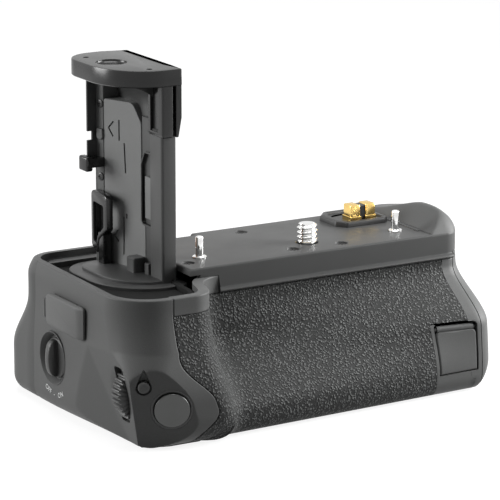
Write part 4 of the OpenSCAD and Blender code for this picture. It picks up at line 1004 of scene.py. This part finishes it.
beam_bar = upright_bar(oblong(beam_x0, beam_y, beam_x1, web_y), [0.9, 0.5, 0.3, 0.3], foot_z, skirt_z + 2)
web_bar = upright_bar(oblong(web_x, web_y - 0.5, beam_x1 - 0.02, column_y1 - 0.5), [0.2] * 4, foot_z,
                      head_z + 0.3)
flange_bar = upright_bar(oblong(flange_x, flange_y, beam_x1, column_y1), [0.2, 0.1, 0.3, 0.3], foot_z,
                         head_z + 0.3)
arch_a = np.linspace(0, np.pi / 2, 20)
arch_x = np.concatenate([[web_x + 0.4], web_x - 13.2 * (1 - np.cos(arch_a)), [web_x + 0.4]])
arch_z = np.concatenate([[head_z - 8.5], head_z - 8.5 + 8.0 * np.sin(arch_a), [head_z + 0.3]])
arch_y = np.array([web_y - 1.5, 28.6])
arch = loft(np.stack([np.column_stack([arch_x, np.full(len(arch_x), y), arch_z]) for y in arch_y]))
strip_points = oblong(web_y - 0.2, foot_z + 0.1, 10.1, 92.0)


def side_plate(points, radii, x_levels, steps=8):
    """Plate on the tower's left face: an outline in y and height, one ring per level (inset, x)."""
    outline = rounded(points, radii, steps)
    return loft(np.stack([np.insert(inset(outline, d), 0, x, axis=1) for d, x in x_levels]))


strip = side_plate(strip_points, [0.2] * 4, [(0, web_x + 0.3), (0, -52.65), (0.15, -52.8)])
recess_points = [(3.2, 58.6), (9.8, 58.6), (9.8, 77.0), (7.6, 81.0), (3.2, 81.0)]
recess_radii = [0.5, 1.4, 1.6, 0.6, 0.3]
window_recess = [side_plate(recess_points, recess_radii, [(0, -52.15), (0, -54)], 6)]
recess_rim = side_plate(recess_points, recess_radii, [(-0.55, -52.5), (-0.55, -53.2), (-0.4, -53.35)], 6)
base_blocks = [upright_bar(oblong(-57.4, 7.6, -53, 12.6), [0.7] * 4, foot_z, 48.2, 0.4),
               upright_bar(oblong(-54.6, 3.4, -52.5, 6.0), [0.3] * 4, foot_z, 47.0)]
piece("tower_beam", [beam_bar], "casing", ["tower_column"], tower_plastic)
piece("tower_web", [web_bar], "casing", ["tower_column"], tower_plastic)
# Lighter copy of the tower plastic for the flange, its side strip and boss: painted light where the beam and
# web shade them.
flange_painted_light_plastic = plastic("flange_painted_light_plastic", 0.13, cells=2800.0, rough=0.4)
piece("tower_flange", [flange_bar], "casing", ["tower_column"], flange_painted_light_plastic)
post_spans = [(-61.3, 76.4, 81.6), (-59.7, 81.5, 84.5), (-61.3, 84.4, 102.6)]
post_levels = [(0, column_y1 - 0.1), (0, flange_y + 0.1), (0.1, flange_y)]
rear_posts = [front_plate(rounded(oblong(x, low, -57.9, high), [0.1] * 4, 3), post_levels)
              for x, low, high in post_spans]
# Rear posts of the flange in the near-black trim: painted shade, as these faces turn away from the lamps
# under the head.
piece("tower_rear_posts", rear_posts, "casing", [], black_trim)
piece("tower_arch", [arch], "casing", ["tower_column"], tower_plastic, crease=40)
piece("tower_strip", [strip], "casing", ["tower_column"], tower_plastic, cuts=[window_recess])
piece("tower_window_rim", [recess_rim], "casing", ["tower_column"], tower_plastic,
      cuts=[window_recess])
piece("tower_base_blocks", base_blocks, "casing", ["tower_column"], tower_plastic)

# Label plate of the tower: a lighter plastic sheet clipped into the column, with engraved guide lines.
# A pale window insert shows in the recess beside it.
plate_plastic = plastic("plate_plastic", 0.175, cells=2600.0, spread=0.2, rough=0.42, specular=0.4)
leaf_slope = 0.2667


def leaf_x(y):
    """Place of the slanted left face: level with the column at its front, further out towards the rear."""
    return -53.02 - leaf_slope * np.maximum(y - 10.3, 0)


def leaf(points, radii, lift=0.0, steps=8):
    """Plate on the slanted left face: an outline in y and height with a softened outer edge."""
    outline = rounded(points, radii, steps)
    rings = [np.column_stack([np.full(len(outline), web_x + 0.2), outline])]
    for depth, rise in ((0.0, lift - 0.12), (0.12, lift)):
        edge = inset(outline, depth)
        rings.append(np.column_stack([leaf_x(edge[:, 0]) - rise, edge]))
    return loft(np.stack(rings))


def engraved(points, width=0.3):
    """Groove along a straight line between two points (y, height) of the slanted left face."""
    a = np.array(points[0])
    b = np.array(points[1])
    t = unit(b - a)
    n = np.array([-t[1], t[0]]) * width
    corner = np.array([a + n, a - n, b - n, b + n])
    return [loft(np.stack([np.column_stack([leaf_x(corner[:, 0]) - rise, corner]) for rise in (-0.6, 0.5)]))]


plate_points = [(8.0, foot_z), (26.4, foot_z), (26.4, 95.0), (14.0, 95.4), (10.3, 89.6), (10.3, 60.0),
                (8.0, 57.6)]
groove_lines = [((19.8, 89.2), (19.8, 82.7)), ((17.6, 82.3), (17.1, 72.9)), ((18.0, 59.0), (18.0, 47.0)),
                ((22.2, 88.4), (24.4, 86.2)), ((24.4, 86.2), (22.4, 83.7)), ((20.5, 54.3), (22.4, 52.4)),
                ((22.4, 52.4), (20.2, 50.8)), ((16.8, 60.2), (16.8, 58.6))]
piece("label_sheet", [leaf(plate_points, [0.2, 0.2, 0.6, 2.6, 3.2, 0.6, 0.3])], "casing",
      ["tower_plate"], plate_plastic, cuts=[engraved(line) for line in groove_lines])
side_strip = leaf(oblong(26.65, foot_z, 29.75, head_z + 0.2), [0.15] * 4)
side_boss = leaf(oblong(26.4, 82.0, 28.9, 85.4), [1.0, 1.0, 0.5, 0.5], 0.7)
# Side strip and boss in the flange's lighter copy of the tower plastic: painted light.
piece("tower_side_strip", [side_strip], "casing", ["tower_column"], flange_painted_light_plastic)
piece("tower_side_boss", [side_boss], "casing", [], flange_painted_light_plastic)
window_insert = side_plate(oblong(3.5, 60.4, 8.4, 73.6), [0.3] * 4,
                           [(0, -52.0), (0, -52.75), (0.2, -52.9)], 4)
piece("tower_window", [window_insert], "casing", [], plate_plastic)

# Tower head: glossy black cap that fills the battery well, with a skirt over the beam.
# Its right edge has notches for the gold contacts and its top a round dish.
head_plastic = plastic("head_plastic", 0.008, cells=3000.0, spread=0.2, rough=0.26, bump=0.000006,
                       specular=0.4)
tower_top = 109.0
notch_count = 7
notch_pitch = (column_y1 - head_y - 9) / notch_count
slot_from = [head_y + 8 + i * notch_pitch for i in range(notch_count)]
slot_x = head_x1 - 1.6
notch_points = [q for y in slot_from for q in ((head_x1, y), (slot_x, y), (slot_x, y + notch_pitch / 2),
                                               (head_x1, y + notch_pitch / 2))]
head_rest = rounded(well_ends + [(head_x1, head_y), *notch_points, (head_x1, 28.4), (head_x1 - 8, column_y1),
                                 (head_x, column_y1)],
                    [0.1, 0.1, 0.5] + [0.12] * len(notch_points) + [0.6, 2.0, 9.0], 10)
head_outline = np.concatenate([well_corner, head_rest[20:]])
head_levels = [(0.3, head_z), (0.0, head_z + 0.3), (0.0, tower_top - 0.42), (0.11, tower_top - 0.14),
               (0.38, tower_top - 0.02)]
head_tools = [[revolve([(4.2, -0.9), (4.6, -0.6), (4.9, 0.3)], (head_x + 8, 12.75, tower_top), upright)],
              [rod((head_x + 5, 23.5, tower_top), upright, 0.9, -2, 1)],
              [rod((head_x + 12.5, -3, tower_top), upright, 0.9, -2, 1)]]
piece("tower_cap", [slab(head_outline, head_levels)], "casing", ["tower_head"], head_plastic,
      cuts=head_tools)
top_levels = [(0.42, tower_top - 0.3), (0.42, tower_top - 0.02), (0.5, tower_top)]
piece("tower_cap_top", [slab(head_outline, top_levels)], "casing", ["tower_head"], tower_plastic,
      cuts=head_tools)
fin_x = head_x1 - 1.9
skirt_points = oblong(beam_x0 - 0.5, head_y + 0.4, fin_x - 1.0, web_y + 0.1)
skirt_outline = rounded(skirt_points, [0.7, 0.5, 0.3, 0.3], 6)
skirt = slab(skirt_outline, [(0.5, skirt_z), (0.1, skirt_z + 0.5), (0.0, skirt_z + 1.2),
                             (0.0, head_z + 0.3)])
skirt_tools = [[block((beam_x0 - 1, head_y + 3.2, skirt_z + 1.5),
                      (beam_x0 + 0.4, web_y - 1.4, head_z - 0.2))]]
fin_outline = rounded([(fin_x, skirt_z), (fin_x + 0.8, skirt_z), (head_x1, skirt_z + 6),
                       (head_x1, head_z + 0.3), (fin_x, head_z + 0.3)], [0.2, 0.4, 0.6, 0.2, 0.1], 6)
fin = front_plate(fin_outline, [(0.15, head_y + 0.4), (0, head_y + 0.6), (0, web_y + 0.1)])
fin_web = block((fin_x - 1.1, head_y + 3.0, skirt_z), (fin_x + 0.1, web_y + 0.1, head_z + 0.2))
piece("tower_skirt", [skirt], "casing", ["tower_head"], head_plastic, cuts=skirt_tools)
piece("tower_fin", [fin], "casing", ["tower_head"], head_plastic)
piece("tower_fin_web", [fin_web], "casing", ["tower_head"], head_plastic)
dress("tower_contacts", gold_plate, 0.06)

# Small fittings of the tower: the loop clip and stop tab on the flange, two screws and the flat cable.
# Clip and tab are black mouldings, the cable a copper film.
clip_plastic = plastic("clip_plastic", 0.008, cells=2600.0, rough=0.24, specular=0.45)
clip_points = [(19.4, 55.0), (24.6, 51.0), (25.8, 46.2), (29.8, 48.5), (29.8, 66.2), (19.4, 65.6)]
hole_points = [(21.6, 55.6), (25.6, 52.2), (26.4, 49.2), (28.2, 50.2), (28.2, 62.6), (21.6, 62.2)]
hole_radii = [0.8, 0.6, 0.5, 0.8, 0.8, 0.8]
clip_levels = [(0, -58.2), (0, -60.0), (0.12, -60.25), (0.4, -60.4)]
clip_plate = side_plate(clip_points, [1.2, 1.2, 0.8, 1.6, 1.6, 1.6], clip_levels)
clip_leg = upright_bar(oblong(-60.2, 22.2, -57.0, 25.6), [0.4] * 4, foot_z, 53.4)
rim_frame = side_plate(hole_points, hole_radii, [(-0.05, -58.4), (-0.05, -59.4), (0.1, -59.55)], 6)
rim_hole = [side_plate(hole_points, hole_radii, [(0.42, -57.9), (0.42, -60.2)], 6)]
piece("loop_clip", [clip_plate], "casing", ["tower_clip"], clip_plastic,
      cuts=[[side_plate(hole_points, hole_radii, [(0, -57.8), (0, -60.1), (-0.3, -60.7)], 6)]])
piece("loop_clip_rim", [rim_frame], "casing", ["tower_clip"], clip_plastic, cuts=[rim_hole])
piece("loop_clip_leg", [clip_leg], "casing", ["tower_clip"], clip_plastic)
tab_bar = front_plate(rounded(oblong(-64.2, 73.5, -57.0, 76.5), [0.5] * 4, 5),
                      [(0, flange_y), (0, 26.5), (0.12, 26.2), (0.4, 26.1)])
tab_knob = front_plate(rounded(oblong(-64.3, 72.7, -61.9, 77.3), [0.6] * 4, 5),
                       [(0, flange_y), (0, 25.5), (0.12, 25.2), (0.4, 25.1)])
piece("stop_tab", [tab_bar], "casing", ["tower_tab"], clip_plastic)
piece("tower_tab_knob", [tab_knob], "casing", ["tower_tab"], clip_plastic)
leaf_out = unit(np.array([-1.0, -leaf_slope, 0.0]))
flange_screw_places = [(leaf_x(27.9), 27.9, 70.2), (leaf_x(27.9), 27.9, 93.2)]
flange_slots = cross_slots(flange_screw_places, 0.8, 0.4, 0.45, leaf_out)
piece("flange_screw_heads", screw_heads(flange_screw_places, 1.35, -0.2, 0.45, leaf_out), "casing",
      ["tower_screws"], screw_black, cuts=flange_slots)
copper_film = plastic("copper_film", 1.0, cells=900.0, rough=0.3, hue=(0.42, 0.17, 0.04))
dress("tower_flex", copper_film, 0.05)

# Insides of the bay: the dividing wall, circuit board with its parts and the battery contacts.
# They are hidden when the tray is shut.
board_green = plastic("board_green", 1.0, cells=1500.0, rough=0.35, hue=(0.012, 0.09, 0.035))
dress("bay_wall", casing_plastic, 0.2)
dress("main_board", board_green, 0.1)
dress("bay_contacts", gold_plate, 0.15)

# Screw drive: a ribbed thumb wheel at the back turns the brass gear of the camera screw under the seat.
# Both run on a steel bridge; the screw has a coarse camera thread.
control_plastic = plastic("control_plastic", 0.035, cells=2600.0, rough=0.42, specular=0.45)
gear_brass = metal("gear_brass", (0.62, 0.45, 0.18), 0.3)
dress("gear_bridge", steel_plain, 0.1)
dress("wheel_axle", steel_plain, 0.1)
dress("thumb_wheel", control_plastic, 0.2)
dress("screw_gear", gear_brass, 0.1)
screw_stud = [thread(2.55, 3.17, 1.5, 0.1, 6.1, screw_axis, upright),
              revolve([(2.45, 5.0), (2.45, 6.15), (2.2, 6.2), (0.01, 6.2)], screw_axis, upright)]
piece("camera_thread", screw_stud, "clamp_screw", ["camera_screw"], chrome, crease=60)
neck_profile = [(1.5, -5.8), (1.5, -5.0), (2.87, -5.0), (2.87, 0.3), (0.01, 0.3)]
piece("camera_screw_neck", [revolve(neck_profile, screw_axis, upright)], "clamp_screw",
      ["camera_screw"], chrome)

# Shutter button: turned metal cap with fine rings in a black bezel on the flat, over its switch cup.
# The rings catch the light as a bow tie.
turned_metal = metal("turned_metal", (0.07, 0.071, 0.07), 0.3)
ring_r = np.linspace(shutter_r - 0.7, 0.02, 220)
ring_z = 0.72 + 0.18 * (ring_r / shutter_r)**2 + 0.012 * np.cos(2 * np.pi * ring_r / 0.26)
shutter_profile = np.concatenate([[(1.4, -5.2), (1.4, -4.4), (5.9, -4.4), (5.9, -3.8), (shutter_r, -3.8),
                                   (shutter_r, 0.55), (shutter_r - 0.12, 0.8), (shutter_r - 0.4, 0.95)],
                                  np.stack([ring_r, ring_z], -1)])
piece("shutter_cap", [revolve(shutter_profile, facet_p, facet_n, 96)], "shutter",
      ["shutter_button"], turned_metal, crease=50)
bezel_profile = [(shutter_r + 0.06, -3.6), (bezel_r - 0.03, -3.6), (bezel_r - 0.03, -0.05),
                 (bezel_r - 0.15, 0.08), (shutter_r + 0.4, 0.08), (shutter_r + 0.15, -0.05),
                 (shutter_r + 0.06, -0.35)]
piece("shutter_ring", [revolve(bezel_profile, facet_p, facet_n, 96, hollow=True)], "casing",
      ["shutter_bezel"], control_plastic)
switch_plastic = plastic("switch_plastic", 0.06, rough=0.4)
dress("shutter_switch", switch_plastic)

# Function button: a small domed key at the foot of a drop-shaped hollow, over its own switch.
# A flange behind the wall keeps it in.
function_profile = [(0.01, -3.3), (2.3, -3.3), (2.3, -2.7), (function_r - 0.02, -2.7),
                    (function_r - 0.02, 0.3), (1.6, 0.55), (1.3, 0.68), (0.7, 0.77), (0.01, 0.8)]
piece("function_key", [revolve(function_profile, function_place, facet_n)], "function",
      ["function_button"], plastic("key_plastic", 0.09, rough=0.4))
dress("function_switch", switch_plastic)

# Main dial: knurled black wheel on a steel axle in a sheet bracket, seen through the slot of the scoop.
# The ribs are rounded, so a highlight runs along each of them.
dial_r = 9.5
dial_ribs = 36
rib_a = np.linspace(0, 2 * np.pi, dial_ribs * 12, endpoint=False)
rib_wave = np.clip(0.5 + 0.85 * np.cos(dial_ribs * rib_a), 0, 1)


def dial_ring(low, y):
    """Ring of the dial: radius drawn in by low, with a rib wave of 0.75 mm, at a place along its axle."""
    r = dial_r - low - 0.75 * (1 - rib_wave)
    return np.stack([dial_place[0] + r * np.cos(rib_a), y + 0 * r, dial_place[2] + r * np.sin(rib_a)], -1)


dial_low = dial_place[1] - 2.3
dial_high = dial_place[1] + 2.3
dial_rings = np.stack([dial_ring(0.45, dial_low), dial_ring(0.12, dial_low + 0.15),
                       dial_ring(0, dial_low + 0.45), dial_ring(0, dial_high - 0.45),
                       dial_ring(0.12, dial_high - 0.15), dial_ring(0.45, dial_high)])
piece("dial_wheel", [loft(dial_rings)], "dial", ["main_dial"], control_plastic, crease=40,
      cuts=[[rod((dial_place[0], dial_low - 1, dial_place[2]), rearwards, 1.25, 0, 8)]])
dress("dial_axle", steel_plain, 0.1)
dress("dial_bracket", steel_plain, 0.15)

# Power knob: a rounded blade on a disc at the bottom of a conical bezel, turned by the thumb.
# The bezel is pressed into the left end over the switch.
bezel_cone = [(2.05, -2.4), (6.7, -2.4), (6.95, -2.3), (8.0, -0.25), (8.25, 0.0), (8.45, -0.1), (8.45, -4.0),
              (2.05, -4.0)]
piece("knob_cup", [revolve(bezel_cone, knob_place, leftwards, 96, hollow=True)], "casing",
      ["knob_bezel"], casing_plastic)
knob_disc = revolve([(2.0, -6.3), (2.0, -2.2), (6.2, -2.2), (6.2, -1.35), (5.9, -1.12), (0.01, -1.1)],
                    knob_place, leftwards, 72)
blade_a = np.linspace(0, np.pi, 40)
blade_half = np.array([-1.25, -1.1, -0.6, 0.6, 1.1, 1.25])
blade_draw = np.array([0.35, 0.1, 0.0, 0.0, 0.1, 0.35])
blade_h = (5.75 - 0.4 * blade_draw[:, None]) * np.cos(blade_a)
blade_x = -1.2 + (3.15 - blade_draw[:, None]) * np.sin(blade_a)**0.6
blade_y = blade_half[:, None] + 0 * blade_h
blade = knob_place + np.stack([-blade_x, blade_y, blade_h], -1)
piece("knob_turn_disc", [knob_disc], "knob", ["power_knob"], control_plastic)
piece("power_knob_blade", [loft(blade)], "knob", ["power_knob"], control_plastic, crease=40)
dress("power_switch", switch_plastic)

# Printed switch marks under the knob, white ink on the left end.
# Text is made a mesh and laid just over the wall.
white_ink = plastic("white_ink", 0.75, rough=0.6, spread=0.05)


def printed(name, words, size, y, h, tilt):
    """Flat word on the left wall, centred at a place and turned by a tilt in degrees."""
    curve = bpy.data.curves.new(name, "FONT")
    curve.body = words
    curve.size = size
    curve.align_x = "CENTER"
    curve.align_y = "CENTER"
    curve.extrude = 0.03
    letters = bpy.data.objects.new(name, curve)
    scene.collection.objects.link(letters)
    bpy.context.view_layer.update()
    mesh = bpy.data.meshes.new_from_object(letters.evaluated_get(bpy.context.evaluated_depsgraph_get()))
    bpy.data.objects.remove(letters)
    flat = np.empty(len(mesh.vertices) * 3)
    mesh.vertices.foreach_get("co", flat)
    flat = flat.reshape(-1, 3)
    c = math.cos(math.radians(tilt))
    s = math.sin(math.radians(tilt))
    wall_y = y - (flat[:, 0] * c - flat[:, 1] * s)
    wall_h = h + flat[:, 0] * s + flat[:, 1] * c
    station = wall_station(wall_h, wall_y, 0, 1)
    place = skin(station, wall_h, -0.01)
    place[:, 0] -= flat[:, 2]
    mesh.vertices.foreach_set("co", to_metres(place).ravel())
    obj = bpy.data.objects.new(name, mesh)
    scene.collection.objects.link(obj)
    coat(obj, white_ink)
    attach(obj, "casing")


printed("mark_off", "OFF", 2.3, 20.8, 7.0, -18)
printed("mark_dash", "-", 2.3, 16.9, 6.2, 0)
printed("mark_on", "ON", 2.3, 12.6, 7.0, 24)

# Cable port: a bowed rubber cover that turns on a thin hinge pin at its rear end, over the plug socket.
# The cover's front end is bevelled for a fingernail.
cover_rubber = plastic("cover_rubber", 0.1, cells=3000.0, spread=0.25, rough=0.55, specular=0.3)
cover_levels = [(0.0, 0.0, 0.0), (0.0, 0.0, 0.55), (0.08, 1.0, 1.05), (0.3, 1.7, 1.4), (0.75, 2.3, port_t)]


def cover_ring_at(draw, bevel, rise):
    """Ring of the port cover: its outline drawn in, more at the front end, at a rise off the wall."""
    front_y = port_y0 + bevel
    back_y = port_pin_y - 0.7
    outline = rounded(oblong(front_y, port_z0, back_y, port_z1), [1.2, 2.4, 2.4, 1.2], 10)
    return np.insert(inset(outline, draw), 0, port_x - rise, axis=1)


cover_body = loft(np.stack([cover_ring_at(*level) for level in cover_levels]))
piece("port_flap_cover", [cover_body], "port_flap", ["port_cover"], cover_rubber)
pin_place = (port_x - port_t / 2, port_pin_y, port_z0)
cover_roll = revolve(oblong(0.52, 2.4, 0.8, 7.8), pin_place, upright, 32, hollow=True)
piece("port_cover_roll", [cover_roll], "port_flap", ["port_cover"], cover_rubber)
piece("port_hinge_pin", [rod(pin_place, upright, 0.4, 2.0, 8.2, 24)], "casing", ["port_hinge"],
      casing_plastic)
dress("port_socket", black_trim, 0.2)

# Cord door: small hinged flap for the lead of a mains adapter, level with its hard surround.
# It turns on a steel pin along its upper edge and hides the cord channel.
door_gap = 0.45
door_high = 20.4
door_round = 1.5
door_rows = mix(door_z0 + gap, door_high, end_lines(44))
door_near = np.clip(door_round - (door_high - door_rows), 0, door_round)
door_draw = door_round - np.sqrt(door_round**2 - door_near**2)
door_from = wall_station(door_rows, door_x0 + door_gap + door_draw, 3, 0)[:, None]
door_to = wall_station(door_rows, door_x1 - door_gap - door_draw, 3, 0)[:, None]
door_panel = casing_panel(door_rows, mix(door_from, door_to, end_lines(50)), 0.05, 1.8, roll=0.5,
                          sides="LRBT")
door_turn = math.radians(-6.87022)
door_axis = np.array([math.cos(door_turn), math.sin(door_turn), 0.0])
door_pin_p = np.array([38.2058, -25.9552, 21.0])
piece("cord_flap", [door_panel], "door", ["cord_door"], casing_plastic)
door_knuckle = revolve(oblong(0.65, -6.3, 1.15, 6.3), door_pin_p, door_axis, 40, hollow=True)
piece("cord_door_knuckle", [door_knuckle], "door", ["cord_door"], casing_plastic)
dress("door_pin", screw_black, 0.1)
dress("cord_channel", black_trim, 0.25)

# Battery tray: a black drawer for two packs with gold contacts, closed by the end cap.
# The cap carries the casing's end skin and a turning latch.
dress("tray", casing_plastic, 0.2)
dress("tray_contacts", gold_plate, 0.15)
cap_rows = wall_rows(0.5, cap_top, 40)
cap_grid = mix(4.02, 5.48, end_lines(110, 0.2)) + 0 * cap_rows[:, None]
cap_h = cap_rows[:, None] + 0 * cap_grid
cap_roll = rolled(skin(cap_grid, cap_h, 0.0), 0.6, "T")
cap_face = skin(cap_grid, cap_h, cap_roll)
cap_back = cap_face.copy()
cap_back[..., 0] = cap_x - 4
latch_y = 13.2
latch_place = np.array([right_x, latch_y, 26.0])
endwards = (1.0, 0.0, 0.0)
piece("tray_end", [grid_shell(cap_face, cap_back)], "drawer", ["tray_cap"], casing_plastic,
      cuts=[[block((30, -99, -9), (cap_x, 99, 99))], [rod(latch_place, endwards, 8.6, -0.6, 9, 80)],
            [rod(latch_place, endwards, 2.05, -6, 9)]])
latch_disc = revolve([(2.0, -5.9), (2.0, -0.4), (8.0, -0.4), (8.0, 0.4), (7.7, 0.6), (0.01, 0.6)],
                     latch_place, endwards, 80)
grip_outline = rounded(oblong(-6.5, -1.4, 6.5, 1.4), [1.3] * 4, 8)
latch_grip = prism(grip_outline, [(1.0, 0.4), (1.0, 2.0), (0.97, 2.4), (0.9, 2.6)], latch_place, rearwards,
                   upright, endwards)
latch_arm = block((46.05, latch_y, 24.0), (47.05, latch_y + 17.8, 28.0))
piece("latch_turn_disc", [latch_disc], "latch", ["tray_latch"], control_plastic)
piece("tray_latch_grip", [latch_grip], "latch", ["tray_latch"], control_plastic)
piece("tray_latch_arm", [latch_arm], "latch", ["tray_latch"], control_plastic)

# Rear keys: three round plastic buttons in the thumb rest over a small board with dome switches.
# Each has a flange behind the wall and a faint dish in its face.
dress("rear_board", board_green, 0.1)
dress("rear_switches", steel_plain, 0.1)
key_profile = [(0.01, -4.95), (2.8, -4.95), (2.8, -3.4), (3.5, -3.4), (3.5, -2.6), (2.8, -2.6), (2.8, 0.45),
               (2.6, 0.68), (2.2, 0.8), (1.4, 0.72), (0.01, 0.62)]
for letter, x in zip("abc", rear_button_x):
    piece(f"rear_key_{letter}", [revolve(key_profile, (x, thumb_rear, rear_button_h), rearwards)],
          f"rear_{letter}", [f"rear_button_{letter}"], control_plastic)
